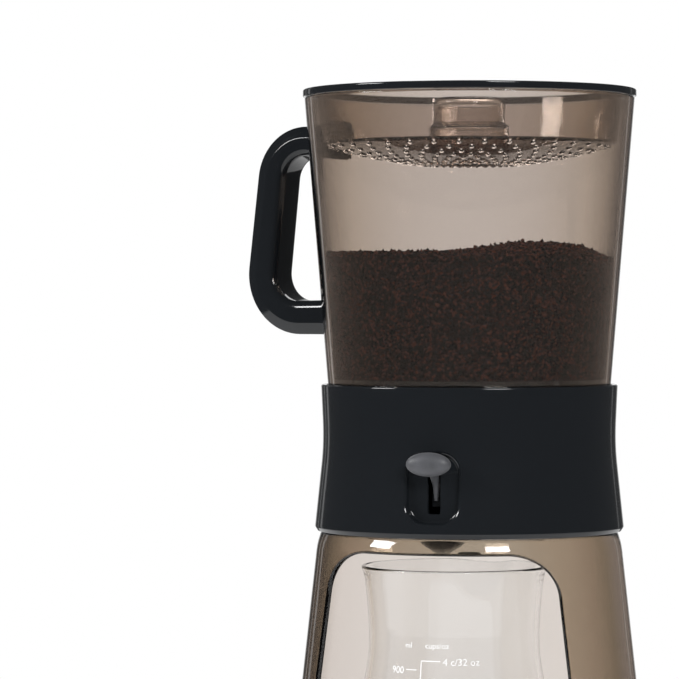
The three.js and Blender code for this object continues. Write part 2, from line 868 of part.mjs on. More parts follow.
function valveCage() {
  const bell_z = cage_z + cage_wall;
  let cage = turned(
    [
      [cage_r - cage_wall, cage_z],
      [cage_flange_r, cage_z],
      [cage_flange_r, bell_z],
      [cage_r, bell_z],
      [cage_r, cage_top_z],
      [cage_hole_r, cage_top_z],
      [cage_hole_r, cage_top_z - cage_wall],
      [cage_r - cage_wall, cage_top_z - cage_wall],
    ],
    round_steps / 2,
  );
  const window_top = bell_z + cage_window_height;
  aroundAxis(cage_window_count, 0, (angle) => {
    cage = cage.subtract(radialBar(angle, cage_r + overrun, cage_window_width, bell_z, window_top));
  });
  return cage;
}

function valveSpring() {
  const low = flange_top_z + seat_gap + spring_wire_r;
  const high = cage_top_z - cage_wall - seat_gap - spring_wire_r;
  const steps = spring_turns * spring_turn_steps;
  const points = spread(0, 1, steps).map((share) => {
    const angle = 2 * Math.PI * spring_turns * share;
    const x = spring_r * Math.cos(angle);
    const y = spring_r * Math.sin(angle);
    return new THREE.Vector3(x, y, low + (high - low) * share);
  });
  const wire = new THREE.Shape().absarc(0, 0, spring_wire_r, 0, 2 * Math.PI);
  const geometry = new THREE.ExtrudeGeometry(new THREE.Shape(wire.getPoints(spring_wire_sides)), {
    steps,
    extrudePath: new THREE.CatmullRomCurve3(points),
  });
  return solidOf(geometry);
}

// Filter
function filterFrame() {
  const ring_inner = filter_r - filter_ring_width;
  const groove_z = filter_z + groove_lift;
  const seat_z = meshSeatZ();
  const ring = turned([
    [ring_inner, filter_z],
    [filter_r, filter_z],
    [filter_r, groove_z],
    [filter_r - groove_depth, groove_z],
    [filter_r - groove_depth, groove_z + gasket_height + seat_gap],
    [filter_r, groove_z + gasket_height + seat_gap],
    [filter_r, filter_top_z],
    [ring_inner + filter_step_width, filter_top_z],
    [ring_inner + filter_step_width, seat_z],
    [ring_inner, seat_z],
  ]);
  const spoke_z = seat_z - spoke_height;
  const hub = rod(spoke_hub_r, spoke_z, seat_z);
  const ring_middle = (ring_inner + filter_r - groove_depth) / 2;
  const spokes = aroundAxis(spoke_count, Math.PI / spoke_count, (angle) =>
    radialBar(angle, ring_middle, spoke_width, spoke_z, seat_z),
  );
  return spokes.reduce((sum, spoke) => sum.add(spoke), ring.add(hub));
}

function meshSeatZ() {
  return filter_top_z - filter_mesh_thickness - 2 * seat_gap;
}

function filterMesh() {
  const radius = filter_r - filter_ring_width + filter_step_width - seat_gap;
  const low = meshSeatZ() + seat_gap;
  return rod(radius, low, low + filter_mesh_thickness, 0, 0, round_steps);
}

function filterGasket() {
  const low = filter_z + groove_lift + seat_gap / 2;
  const inner = filter_r - groove_depth + seat_gap;
  const outer = well_r - seat_gap;
  return turned([
    [inner, low],
    [outer - groove_depth / 2, low],
    [outer, low + gasket_height / 2],
    [outer - groove_depth / 2, low + gasket_height],
    [inner, low + gasket_height],
  ]);
}

// Ground coffee
function coffeeTop(x, y) {
  const inner = containerRadius(container_floor_z) - container_wall;
  const crest = Math.exp(-(((x - coffee_crest_offset) / coffee_crest_spread) ** 2));
  const edge = Math.max(0, x / inner - coffee_edge_share) / (1 - coffee_edge_share);
  const sway = Math.cos((Math.PI * y) / inner);
  return coffee_z + coffee_low_rise + coffee_crest_rise * crest * (1 + sway) / 2 - coffee_edge_fall * edge;
}

function coffeeGrounds() {
  const wall_r = (z) => containerRadius(z) - container_wall - seat_gap;
  const low_r = wall_r(coffee_z);
  const rings = [aroundAxis(round_steps, 0, (angle) => polar(low_r, angle, coffee_z))];
  coffee_ring_shares.forEach((share) => {
    rings.push(
      aroundAxis(round_steps, 0, (angle) => {
        const guess = wall_r(coffee_z + coffee_low_rise);
        const z = coffeeTop(guess * share * Math.cos(angle), guess * share * Math.sin(angle));
        return polar(wall_r(z) * share, angle, z);
      }),
    );
  });
  const bottom = new THREE.Vector3(0, 0, coffee_z);
  const top = new THREE.Vector3(0, 0, coffeeTop(0, 0));
  return solidOf(skinOfRings(rings, bottom, top));
}

function polar(radius, angle, z) {
  return new THREE.Vector3(radius * Math.cos(angle), radius * Math.sin(angle), z);
}

// A closed skin over rings of equal count, with a point or a fan at each end
function skinOfRings(rings, first_point, last_point) {
  const count = rings[0].length;
  const points = [...rings.flat(), first_point, last_point];
  const first = points.length - 2;
  const last = points.length - 1;
  const final = (rings.length - 1) * count;
  const index = [];
  for (let i = 0; i < count; i += 1) {
    const next = (i + 1) % count;
    index.push(first, next, i);
    index.push(last, final + i, final + next);
    for (let ring = 0; ring < rings.length - 1; ring += 1) {
      const low = ring * count;
      const high = low + count;
      index.push(low + i, low + next, high + next, low + i, high + next, high + i);
    }
  }
  const geometry = new THREE.BufferGeometry().setFromPoints(points);
  geometry.setIndex(index);
  return geometry;
}

// Handle
function handleSection(thickness, flare) {
  const half = handle_width / 2 + handle_flare_width * flare;
  const front = -handle_flare_height * flare;
  const back = thickness + handle_flare_height * flare;
  const [grip_depth, grip_side] = [back - handle_grip_r, half - handle_grip_r];
  const grip = arcPoints(grip_depth, grip_side, handle_grip_r, Math.PI / 2, 0, fillet_steps);
  const side = [[front, half - handle_bevel_side], [front + handle_bevel_depth, half], ...grip];
  return [...side, ...side.map(([depth, across]) => [depth, -across]).reverse()];
}

function bend(before, corner, after, radius) {
  const back = before.clone().sub(corner).normalize();
  const ahead = after.clone().sub(corner).normalize();
  const half = Math.acos(back.dot(ahead)) / 2;
  const middle = back.clone().add(ahead).normalize();
  const centre = corner.clone().addScaledVector(middle, radius / Math.sin(half));
  const start = corner.clone().addScaledVector(back, radius / Math.tan(half)).sub(centre);
  const turn = back.cross(ahead) > 0 ? half * 2 - Math.PI : Math.PI - half * 2;
  return spread(0, turn, handle_bend_steps).map((angle) =>
    start.clone().rotateAround(new THREE.Vector2(), angle).add(centre),
  );
}

// The handle's outer line in (reach, z), from the upper root to the lower one
function handleLine() {
  const upper_root = containerRadius(handle_top_z) - handle_root_depth;
  const lower_root = containerRadius(handle_bottom_z) - handle_root_depth;
  const corners = [
    new THREE.Vector2(upper_root, handle_top_z),
    new THREE.Vector2(handle_top_reach, handle_top_z),
    new THREE.Vector2(handle_bottom_reach, handle_bottom_z),
    new THREE.Vector2(lower_root, handle_bottom_z),
  ];
  const run = handle_root_depth + handle_flare_length;
  const upper = handle_root_shares.map((share) => corners[0].clone().setX(upper_root + run * share));
  const lower = handle_root_shares.map((share) => corners[3].clone().setX(lower_root + run * share));
  return [
    ...upper,
    ...bend(corners[0], corners[1], corners[2], handle_top_bend_r),
    ...bend(corners[1], corners[2], corners[3], handle_bottom_bend_r),
    ...lower.reverse(),
  ];
}

function handle() {
  const line = handleLine();
  const outward = new THREE.Vector3(-Math.cos(handle_turn), Math.sin(handle_turn), 0);
  const across = new THREE.Vector3(-Math.sin(handle_turn), -Math.cos(handle_turn), 0);
  const rings = line.map((point, i) => {
    const share = i / (line.length - 1);
    const ahead = line[Math.min(i + 1, line.length - 1)];
    const travel = ahead.clone().sub(line[Math.max(i - 1, 0)]).normalize();
    const inward = new THREE.Vector2(travel.y, -travel.x);
    const thickness = THREE.MathUtils.lerp(handle_top_thickness, handle_bottom_thickness, share);
    const clear = point.x - containerRadius(point.y);
    const flare = THREE.MathUtils.clamp(1 - clear / handle_flare_length, 0, 1) ** 2;
    return handleSection(thickness, flare).map(([depth, side]) => {
      const place = point.clone().addScaledVector(inward, depth);
      return outward.clone().multiplyScalar(place.x).addScaledVector(across, side).setZ(place.y);
    });
  });
  const middleOf = (ring) =>
    ring.reduce((sum, point) => sum.add(point), new THREE.Vector3()).divideScalar(ring.length);
  const loop = solidOf(skinOfRings(rings, middleOf(rings[0]), middleOf(rings[rings.length - 1])));
  const low = handle_bottom_z - handle_bottom_thickness;
  const high = handle_top_z + handle_top_thickness;
  const core = turned([
    [0, low],
    [containerRadius(low) + seat_gap, low],
    [containerRadius(high) + seat_gap, high],
    [0, high],
  ]);
  return loop.subtract(core);
}

// Shower lid
function lidBowlZ(radius) {
  const share = (radius ** 2 - lid_flat_r ** 2) / (lid_wall_foot_r ** 2 - lid_flat_r ** 2);
  return lid_bowl_z + lid_bowl_depth * Math.max(0, share);
}

function showerLid() {
  const rim_top = lid_z + lid_rim_thickness;
  const dome_top = lid_bowl_z + dome_height;
  const step_top = lid_bowl_z + dome_step_height + lid_wall;
  const bowl_r = spread(lid_flat_r, lid_wall_foot_r, lid_bowl_steps);
  const inside = bowl_r.slice(0, -1).map((r) => [r, lidBowlZ(r) + lid_wall]);
  const outside = bowl_r.map((r) => [r, lidBowlZ(r)]).reverse();
  const dome_in = dome_r - lid_wall;
  const shell = turned([
    [0, dome_top],
    ...arcPoints(dome_r - dome_edge_r, dome_top - dome_edge_r, dome_edge_r, Math.PI / 2, 0, fillet_steps),
    [dome_r, step_top + dome_step_slope],
    [dome_foot_r, step_top],
    [dome_foot_r, lid_bowl_z + lid_wall],
    ...inside,
    [lid_wall_foot_r - lid_wall, lid_wall_foot_z + lid_wall / 2],
    [lid_wall_top_r - lid_wall, rim_top - lid_rim_edge],
    [lid_wall_top_r - lid_wall + lid_rim_edge, rim_top],
    [lid_rim_r - lid_rim_edge, rim_top],
    [lid_rim_r, rim_top - lid_rim_edge],
    [lid_rim_r, lid_z],
    [lid_wall_top_r, lid_z],
    ...outside,
    [dome_foot_r - lid_wall, lid_bowl_z],
    [dome_foot_r - lid_wall, step_top - lid_wall / 2],
    [dome_in, step_top + lid_wall],
    [dome_in, dome_top - dome_edge_r],
    [dome_in - dome_edge_r + lid_wall / 2, dome_top - lid_wall],
    [0, dome_top - lid_wall],
  ]);
  return wasm.Manifold.difference([shell, ...lidHoles()]);
}

// Upright holes in rings, each ring turned half a pitch from the last
function lidHoles() {
  const pitch = (2 * Math.PI) / lid_ring_holes;
  return lid_ring_shares.flatMap((share, ring) => {
    const reach = THREE.MathUtils.lerp(lid_flat_r, lid_wall_foot_r - lid_wall, share);
    const low_z = lidBowlZ(reach) - lid_wall;
    const high_z = lidBowlZ(reach) + 2 * lid_wall;
    const start = pitch * (ring % 2 ? 3 : 1) / 4;
    return aroundAxis(lid_ring_holes, start, (angle) =>
      rod(lid_hole_r, low_z, high_z, reach * Math.cos(angle), reach * Math.sin(angle), lid_hole_steps),
    );
  });
}

// Carafe
function carafeRadius(rise) {
  const smooth = (share) => (1 - Math.cos(Math.PI * THREE.MathUtils.clamp(share, 0, 1))) / 2;
  if (rise < carafe_belly_rise) {
    const share = 1 - rise / carafe_belly_rise;
    return carafe_belly_r - (carafe_belly_r - carafe_base_r) * share ** carafe_base_power;
  }
  if (rise < carafe_waist_rise) {
    const share = (rise - carafe_belly_rise) / (carafe_waist_rise - carafe_belly_rise);
    const drawn = smooth(share ** carafe_shoulder_power);
    return carafe_belly_r - (carafe_belly_r - carafe_waist_r) * drawn;
  }
  const share = (rise - carafe_waist_rise) / (carafe_height - carafe_waist_rise);
  return carafe_waist_r + (carafe_rim_r - carafe_waist_r) * share ** carafe_neck_power;
}

function carafe() {
  const low = spread(0, carafe_belly_rise, fillet_steps);
  const middle = spread(carafe_belly_rise, carafe_waist_rise, carafe_side_steps).slice(1);
  const high = spread(carafe_waist_rise, carafe_height, fillet_steps).slice(1);
  const outside = [...low, ...middle, ...high].map((rise) => [carafeRadius(rise), carafe_z + rise]);
  const inside = [carafe_floor + carafe_wall, ...low.slice(2), ...middle, ...high]
    .map((rise) => [carafeRadius(rise) - carafe_wall, carafe_z + rise])
    .reverse();
  outside[outside.length - 1][0] += carafe_rim_flare;
  inside[0][0] += carafe_rim_flare;
  const floor_z = carafe_z + carafe_floor;
  const floor_r = carafe_base_r - 2 * carafe_wall;
  const geometry = turnedGeometry([[0, carafe_z], ...outside, ...inside, [floor_r, floor_z], [0, floor_z]]);
  drawSpout(geometry.attributes.position);
  return solidOf(geometry, moveTo(carafe_x, carafe_y, 0));
}

// Pulls the rim out and a little down on one side
function drawSpout(position) {
  const spout_z = carafe_z + carafe_height - carafe_spout_height;
  for (let i = 0; i < position.count; i += 1) {
    const [x, y, z] = [position.getX(i), position.getY(i), position.getZ(i)];
    const rise = Math.max(0, (z - spout_z) / carafe_spout_height);
    const off = Math.abs(Math.atan2(y, x) - carafe_spout_angle) / carafe_spout_spread;
    if (off >= 1 || rise <= 0) continue;
    const pull = rise ** 2 * Math.cos((Math.PI * off) / 2) ** 2;
    const radius = Math.hypot(x, y);
    const grown = (radius + carafe_spout_reach * pull) / radius;
    position.setXYZ(i, x * grown, y * grown, z - carafe_spout_dip * pull);
  }
}

// Finishes: colour, roughness, metalness and, for clear pieces, opacity
const finishes = {
  smoke: { color: 0x8d8378, roughness: 0.12, metalness: 0, opacity: 0.5 },
  black_gloss: { color: 0x1b1e22, roughness: 0.14, metalness: 0 },
  black_satin: { color: 0x24262a, roughness: 0.45, metalness: 0 },
  soft_grey: { color: 0x55575c, roughness: 0.55, metalness: 0 },
  glass: { color: 0xe8ecec, roughness: 0.03, metalness: 0, opacity: 0.3 },
  coffee: { color: 0x3a241c, roughness: 0.95, metalness: 0 },
  steel: { color: 0xb9bcc0, roughness: 0.3, metalness: 1 },
  silicone: { color: 0x9a9c9f, roughness: 0.7, metalness: 0 },
};

function piece(name, solid, finish) {
  const { vertProperties, triVerts } = solid.getMesh();
  const geometry = new THREE.BufferGeometry();
  geometry.setAttribute('position', new THREE.BufferAttribute(new Float32Array(vertProperties), 3));
  geometry.setIndex(new THREE.BufferAttribute(new Uint32Array(triVerts), 1));
  geometry.computeVertexNormals();
  const look = finishes[finish];
  const material = new THREE.MeshStandardMaterial({ ...look, transparent: look.opacity !== undefined });
  const mesh = new THREE.Mesh(geometry, material);
  mesh.name = name;
  return mesh;
}

const group = new THREE.Group();
group.add(
  piece('base_pad', basePad(), 'silicone'),
  piece('stand_body', standBody(), 'smoke'),
  piece('collar', collar(), 'black_gloss'),
  piece('drip_cover', dripCover(), 'black_satin'),
  piece('lever_pin', leverPin(), 'steel'),
  ...screwPlaces().map(([x, y], i) => piece(`cover_screw_${i + 1}`, coverScrew(x, y), 'steel')),
  piece('switch_lever', switchLever(), 'black_gloss'),
  piece('switch_knob', switchKnob(), 'soft_grey'),
  piece('collar_deck', collarDeck(), 'black_satin'),
  piece('push_rod', pushRod(), 'black_satin'),
  piece('brew_container', brewContainer(), 'smoke'),
  piece('filter_well', filterWell(), 'smoke'),
  piece('handle', handle(), 'black_gloss'),
  piece('valve_stem', valveStem(), 'black_satin'),
  piece('valve_seal', valveSeal(), 'silicone'),
  piece('valve_cage', valveCage(), 'black_satin'),
  piece('valve_spring', valveSpring(), 'steel'),
  piece('filter_frame', filterFrame(), 'black_satin'),
  piece('filter_mesh', filterMesh(), 'steel'),
  piece('filter_gasket', filterGasket(), 'silicone'),
  piece('coffee_grounds', coffeeGrounds(), 'coffee'),
  piece('shower_lid', showerLid(), 'smoke'),
  piece('carafe', carafe(), 'glass'),
);

export default group;
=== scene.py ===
import math

import bmesh
import bpy
import numpy as np
from bpy.props import FloatProperty, FloatVectorProperty, IntProperty, PointerProperty
from bpy.types import Operator, Panel, PropertyGroup
from mathutils import Matrix, Vector, noise
from mathutils.geometry import delaunay_2d_cdt


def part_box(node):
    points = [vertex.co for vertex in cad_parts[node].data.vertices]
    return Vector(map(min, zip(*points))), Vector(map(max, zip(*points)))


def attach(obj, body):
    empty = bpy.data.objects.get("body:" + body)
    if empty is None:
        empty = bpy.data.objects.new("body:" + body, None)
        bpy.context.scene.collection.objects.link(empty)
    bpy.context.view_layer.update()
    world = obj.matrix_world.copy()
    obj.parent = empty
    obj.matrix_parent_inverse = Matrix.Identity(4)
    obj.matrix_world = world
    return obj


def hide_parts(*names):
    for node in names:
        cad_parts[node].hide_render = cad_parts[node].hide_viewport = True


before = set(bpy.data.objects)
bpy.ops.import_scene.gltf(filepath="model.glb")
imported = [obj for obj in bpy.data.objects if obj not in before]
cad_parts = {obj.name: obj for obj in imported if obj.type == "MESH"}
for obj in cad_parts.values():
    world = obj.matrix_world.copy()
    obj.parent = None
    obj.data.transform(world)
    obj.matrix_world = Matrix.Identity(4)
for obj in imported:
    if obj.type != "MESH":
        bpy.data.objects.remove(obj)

bl_info = {
    "name": "Cold Brew Coffee Maker",
    "version": (1, 0, 0),
    "blender": (4, 5, 0),
    "location": "View3D > Sidebar > Brewer",
    "description": "Builds the visible pieces and finishes of a cold brew coffee maker",
    "category": "Object",
}

# Room between pieces that rest on each other
SEAT_GAP = 0.0003
MERGE_DISTANCE = 1e-6
# Long runs of a turned profile get a point this close to each end, so that straight walls shade straight
SUPPORT_REACH = 0.00025
LONG_RUN = 8 * SUPPORT_REACH
ROUND_STEPS = 144
FINE_ROUND_STEPS = 192
# Edges that bend by more degrees than this are shaded sharp
SHARP_DEGREES = 32
# Half the thickness of the print on the glass, and how far its middle stands off the glass
PRINT_HALF = 0.00003
PRINT_LIFT = 0.00006


def length(name, description, default):
    """A size in metres that a user can change."""
    return FloatProperty(name=name, description=description, default=default, unit="LENGTH", precision=5)


def share(name, description, default):
    """A share, a factor or another plain number."""
    return FloatProperty(name=name, description=description, default=default)


def whole_number(name, description, default):
    """A count, or the seed of the random draws."""
    return IntProperty(name=name, description=description, default=default)


def angle_of(name, description, degrees):
    """An angle, given in degrees."""
    return FloatProperty(name=name, description=description, default=math.radians(degrees), subtype="ANGLE")


def tint(name, description, default):
    """A linear colour."""
    return FloatVectorProperty(
        name=name, description=description, default=default, subtype="COLOR", size=3, min=0.0, max=1.0
    )


def low(node):
    """The lowest corner of a CAD node's box."""
    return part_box(node)[0]


def high(node):
    """The highest corner of a CAD node's box."""
    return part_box(node)[1]


class BrewerStandSizes(PropertyGroup):
    """Smoke stand: a conical wall with an arch, and its floor"""

    foot_radius: length("Foot radius", "Radius at the ground", high("stand_body")[0])
    top_radius: length("Top radius", "Radius under the collar", 0.0714)
    height: length("Height", "Height of the conical wall", low("collar")[2] - SEAT_GAP)
    wall: length("Wall", "Thickness of the wall", 0.0028)
    floor_low: length("Floor underside", "Height of the floor's underside", 0.0015)
    floor_top: length("Floor top", "Height of the floor's upper face", 0.0045)
    foot_chamfer: length("Foot rounding", "Rounding of the foot's outer edge", 0.0012)
    edge: length("Edge radius", "Rounding of the arch's edge", 0.0011)
    arch_top: length("Arch top", "Height of the arch's crown", 0.159)
    arch_foot_half: length("Arch foot", "Half width of the arch at the floor", 0.073)
    arch_crown_half: length("Arch crown", "Half width of the arch at the corner of side and crown", 0.0533)
    arch_corner: length("Arch corner", "Corner radius of the arch", 0.022)
    shoulder_start: length("Shoulder start", "Height from which the wall draws in under the collar", 0.157)
    shoulder_draw: length("Shoulder draw", "How far the wall draws in at its top", 0.0014)


class BrewerCollarSizes(PropertyGroup):
    """Black collar with the switch pocket"""

    foot_radius: length("Foot radius", "Radius at the lower edge", high("collar")[0])
    waist_radius: length("Waist radius", "Smallest radius", 0.0693)
    top_radius: length("Top radius", "Radius at the upper edge", 0.0702)
    waist_lift: length("Waist height", "Height of the waist above the lower edge", 0.045)
    waist_bend: share("Waist bend", "Share of the way from waist to edge over which the wall bends", 0.3)
    wall: length("Wall", "Thickness of the wall", 0.0026)
    chamfer: length("Foot chamfer", "Width of the chamfer at the lower edge", 0.0013)
    lip: length("Lip radius", "Rounding of the upper edge", 0.0009)
    pocket_half_width: length("Pocket half width", "Half width of the switch pocket", 0.01325)
    pocket_half_height: length("Pocket half height", "Half height of the switch pocket", 0.01705)
    pocket_corner: length("Pocket corner", "Corner radius of the switch pocket", 0.01)
    pocket_lift: length("Pocket height", "Height of the pocket's lower edge above the collar's", 0.0055)
    pocket_floor: length("Pocket floor", "Distance of the pocket's floor from the axis", 0.0664)
    pocket_floor_wall: length("Pocket floor wall", "Thickness of the pocket's floor", 0.0024)
    slot_half_width: length("Slot half width", "Half width of the lever's slot", 0.003)
    slot_corner: length("Slot corner", "Corner radius of the lever's slot", 0.0009)
    slot_bottom: length("Slot bottom", "Height of the slot's lower end above the pocket's", 0.0055)
    slot_margin: length("Slot margin", "Distance of the slot's upper end below the pocket's", 0.0018)


class BrewerDripCoverSizes(PropertyGroup):
    """Drip cover: a plate with a nozzle, the lever's bowl and the ears for its pin"""

    plate: length("Plate", "Thickness of the plate", 0.0025)
    bore: length("Bore", "Radius of the nozzle's bore", 0.0036)
    wall: length("Wall", "Thickness of the nozzle's wall", 0.0016)
    funnel: length("Funnel", "Radius of the funnel at the plate", 0.0135)
    bowl_y: length("Bowl place", "Place of the bowl from front to back", -0.0492)
    bowl_radius: length("Bowl radius", "Outer radius of the bowl", 0.0143)
    bowl_depth: length("Bowl depth", "Depth of the bowl below the plate", 0.010)
    bowl_wall: length("Bowl wall", "Thickness of the bowl", 0.0015)
    pin_y: length("Pin place", "Place of the lever's pin from front to back", -0.019)
    pin_z: length("Pin height", "Height of the lever's pin", 0.186)
    ear_gap: length("Ear gap", "Distance of an ear's inner face from the middle", 0.0035)
    ear_thickness: length("Ear thickness", "Thickness of an ear", 0.003)
    ear_half: length("Ear size", "Reach of an ear round the pin", 0.0052)
    ear_corner: length("Ear corner", "Rounding of an ear", 0.0046)


class BrewerSwitchSizes(PropertyGroup):
    """Drain switch: the lever's neck and its knob"""

    knob_width: length("Knob width", "Width of the knob", 0.021)
    knob_height: length("Knob height", "Height of the knob", 0.011)
    knob_thickness: length("Knob thickness", "How far the knob stands out", 0.0086)
    blade_front: length("Blade front", "Place of the blade's front face", -0.0607)
    neck_foot_z: length("Neck height", "Height of the neck's lower end", 0.1838)
    neck_foot_half: length("Neck foot", "Half width of the neck at its lower end", 0.0009)
    neck_foot_deep: length("Neck foot depth", "Half depth of the neck at its lower end", 0.0012)
    neck_top_half: length("Neck top", "Half width of the neck under the knob", 0.0024)
    neck_top_deep: length("Neck top depth", "Half depth of the neck under the knob", 0.0026)
    neck_upright: share("Upright neck", "Share of the neck's height that stands upright", 0.37)


class BrewerContainerSizes(PropertyGroup):
    """Smoke brew container"""

    foot_radius: length("Foot radius", "Outer radius at the lower edge", 0.0654)
    top_radius: length("Top radius", "Outer radius at the rim", 0.0781)
    wall: length("Wall", "Thickness of the wall", 0.0027)
    rim_edge: length("Rim edge", "Rounding of the rim", 0.0007)
    floor: length("Floor", "Thickness of the floor that rests on the ledge", 0.0025)
    ledge: length("Ledge", "Width and height of the ledge under the floor", 0.002)


class BrewerHandleSizes(PropertyGroup):
    """Bevelled loop handle on the container's left"""

    turn: angle_of("Turn", "Angle of the handle behind the left side", 14)
    top: length("Top", "Height of the upper arm's top face", 0.3594)
    bottom: length("Bottom", "Height of the lower arm's under face", 0.259)
    top_reach: length("Top reach", "Distance of the upper corner from the axis", 0.1092)
    bottom_reach: length("Bottom reach", "Distance of the lower corner from the axis", 0.1214)
    top_bend: length("Top bend", "Radius of the upper bend", 0.0265)
    bottom_bend: length("Bottom bend", "Radius of the lower bend", 0.029)
    width: length("Width", "Width of the section", 0.020)
    top_thickness: length("Top thickness", "Thickness of the section at the upper root", 0.0139)
    bottom_thickness: length("Bottom thickness", "Thickness of the section at the lower root", 0.0166)
    bevel_depth: length("Bevel depth", "Depth of the outer bevels", 0.0055)
    bevel_side: length("Bevel side", "Sideways size of the outer bevels", 0.002)
    grip: length("Grip radius", "Rounding of the inner corners", 0.004)
    edge: length("Edge", "Rounding of the bevels' edges", 0.0007)
    flare_length: length("Flare length", "Length of the flare at each root", 0.008)
    flare_width: length("Flare width", "Sideways growth at the root", 0.005)
    flare_height: length("Flare height", "Growth up and down at the root", 0.002)


class BrewerLidSizes(PropertyGroup):
    """Shower lid: rim, dish wall, bowl of holes and hollow dome"""

    rim_radius: length("Rim radius", "Outer radius of the rim", 0.0789)
    rim_thickness: length("Rim thickness", "Height of the rim", 0.0034)
    rim_edge: length("Rim edge", "Rounding of the rim", 0.0008)
    wall_top: length("Wall top", "Outer radius of the dish wall at its top", 0.0725)
    wall_foot: length("Wall foot", "Outer radius of the dish wall at its foot", 0.0695)
    wall_height: length("Wall height", "Depth of the dish wall", 0.0226)
    wall: length("Wall", "Thickness of the lid", 0.0018)
    bowl_depth: length("Bowl depth", "Depth of the bowl below the dish wall", 0.0095)
    flat_radius: length("Flat radius", "Radius of the bowl's flat middle", 0.021)
    dome_radius: length("Dome radius", "Outer radius of the dome", 0.017)
    dome_foot: length("Dome foot", "Outer radius of the dome's foot", 0.019)
    dome_height: length("Dome height", "Height of the dome above the bowl", 0.0317)
    dome_step: length("Dome step", "Height of the step in the dome's side", 0.0178)
    dome_edge: length("Dome edge", "Rounding of the dome's top edge", 0.003)
    dome_bend: length("Dome bend", "Rounding of the bends in the dome's side", 0.0008)
    hole_radius: length("Hole radius", "Radius of a shower hole", 0.00085)
    hole_edge: length("Hole edge", "Chamfer round a shower hole", 0.0002)
    nozzle: length("Nozzle", "How far the nozzle round a hole stands below the bowl", 0.0007)
    holes: whole_number("Holes", "Shower holes in each ring", 36)


class BrewerCoffeeSizes(PropertyGroup):
    """Ground coffee"""

    low_rise: length("Rise", "Height of the heap's lower side", 0.0576)
    crest_rise: length("Crest", "Extra height of the crest", 0.0059)
    crest_offset: length("Crest place", "Distance of the crest to the right of the axis", 0.030)
    crest_spread: length("Crest spread", "Width of the crest", 0.030)
    edge_fall: length("Edge fall", "Drop beside the right wall", 0.0035)
    edge_share: share("Edge share", "Share of the radius where that drop starts", 0.8)
    lumps: length("Lumps", "Height of the lumps on the top", 0.0020)
    grain: length("Grain", "Size of the largest loose grain", 0.0019)
    grains: whole_number("Grains", "Loose grains on the top", 7800)
    seed: whole_number("Seed", "Seed of the grains", 7)


class BrewerCarafeSizes(PropertyGroup):
    """Glass carafe with its spout and graduation marks"""

    x: length("Place X", "Sideways place of the carafe's axis", -0.003)
    y: length("Place Y", "Place of the carafe's axis from front to back", -0.017)
    wall: length("Wall", "Thickness of the glass", 0.0022)
    floor: length("Floor", "Thickness of the glass floor", 0.0032)
    belly_radius: length("Belly radius", "Largest radius", 0.065)
    base_radius: length("Base radius", "Radius at the base", 0.057)
    waist_radius: length("Waist radius", "Smallest radius", 0.040)
    rim_radius: length("Rim radius", "Radius of the neck's top", 0.0429)
    rim_flare: length("Rim flare", "Outward turn of the rim", 0.0012)
    belly_share: share("Belly share", "Height of the belly as a share of the whole", 0.157)
    waist_share: share("Waist share", "Height of the waist as a share of the whole", 0.772)
    spout_reach: length("Spout reach", "How far the spout is drawn out", 0.0065)
    spout_dip: length("Spout dip", "How far the spout is drawn down", 0.0018)
    spout_height: length("Spout height", "Height over which the spout is drawn", 0.024)
    spout_angle: angle_of("Spout angle", "Direction of the spout from +X", 83.5)
    spout_spread: angle_of("Spout spread", "Half width of the spout as an angle", 24)
    mark_line: length("Mark line", "Thickness of a graduation line", 0.0004)
    mark_text: length("Mark text", "Height of a graduation number", 0.0034)


class BrewerFinishes(PropertyGroup):
    """Colours of the finishes"""

    smoke: tint("Smoke", "Colour that the smoke plastic lets through", (0.44, 0.30, 0.19))
    black: tint("Black", "Polished black plastic", (0.0085, 0.0100, 0.0120))
    satin: tint("Satin black", "Satin black plastic", (0.015, 0.016, 0.018))
    grip: tint("Grip", "Soft grey of the knob", (0.062, 0.064, 0.072))
    # The dark and light coffee colours end a ramp driven by random grain tone and by painted light on upward
    # faces, so they are partly painted shade and painted light
    coffee_dark: tint("Dark coffee", "Shade between the grains", (0.003, 0.0015, 0.0013))
    coffee_light: tint("Light coffee", "Light side of the grains", (0.130, 0.034, 0.015))
    coffee_mid: tint("Coffee", "Middle brown of the grains", (0.013, 0.0040, 0.0030))
    steel: tint("Steel", "Bright steel", (0.62, 0.63, 0.64))
    silicone: tint("Silicone", "Silicone rubber", (0.32, 0.33, 0.34))
    print_white: tint("Print", "White print on the glass", (0.92, 0.92, 0.92))


class BrewerStageSizes(PropertyGroup):
    """Camera, floor and lamps"""

    camera_distance: length("Camera distance", "Distance of the camera from the axis", 1.70)
    camera_height: length("Camera height", "Height of the camera", 0.277)
    camera_angle: angle_of("Camera angle", "Camera's turn to the right of the front", 14)
    camera_lens: share("Lens", "Focal length in millimetres", 190.1)
    camera_yaw: angle_of("Yaw", "Turn of the view to the left of the axis", 2.073)
    camera_pitch: angle_of("Pitch", "Tilt of the view below level", 0.679)
    lamp_aim: length("Lamp aim", "Height that the lamps face", 0.18)
    floor_radius: length("Floor radius", "Radius of the floor", 0.85)
    floor_fade: length("Floor fade", "Radius at which the floor starts to fade", 0.30)
    fill_level: share("Fill", "Strength of the soft fill", 0.62)
    room_level: share("Room", "Strength of the room that gloss shows beside the backdrop", 0.07)
    backdrop_edge: share("Backdrop edge", "Cosine of the angle at which gloss loses the backdrop", 0.96)


def on_circle(radius, angle):
    """A point at a radius and an angle from X."""
    return radius * math.cos(angle), radius * math.sin(angle)


def outline_arc(start, end, centre, steps):
    """Points from start to end round a centre, both ends included."""
    first = math.atan2(*(start - centre).yx)
    swing = math.atan2(*(end - centre).yx) - first
    swing = (swing + math.pi) % math.tau - math.pi
    radius = (start - centre).length
    return [
        centre + radius * Vector((math.cos(first + swing * i / steps), math.sin(first + swing * i / steps)))
        for i in range(steps + 1)
    ]


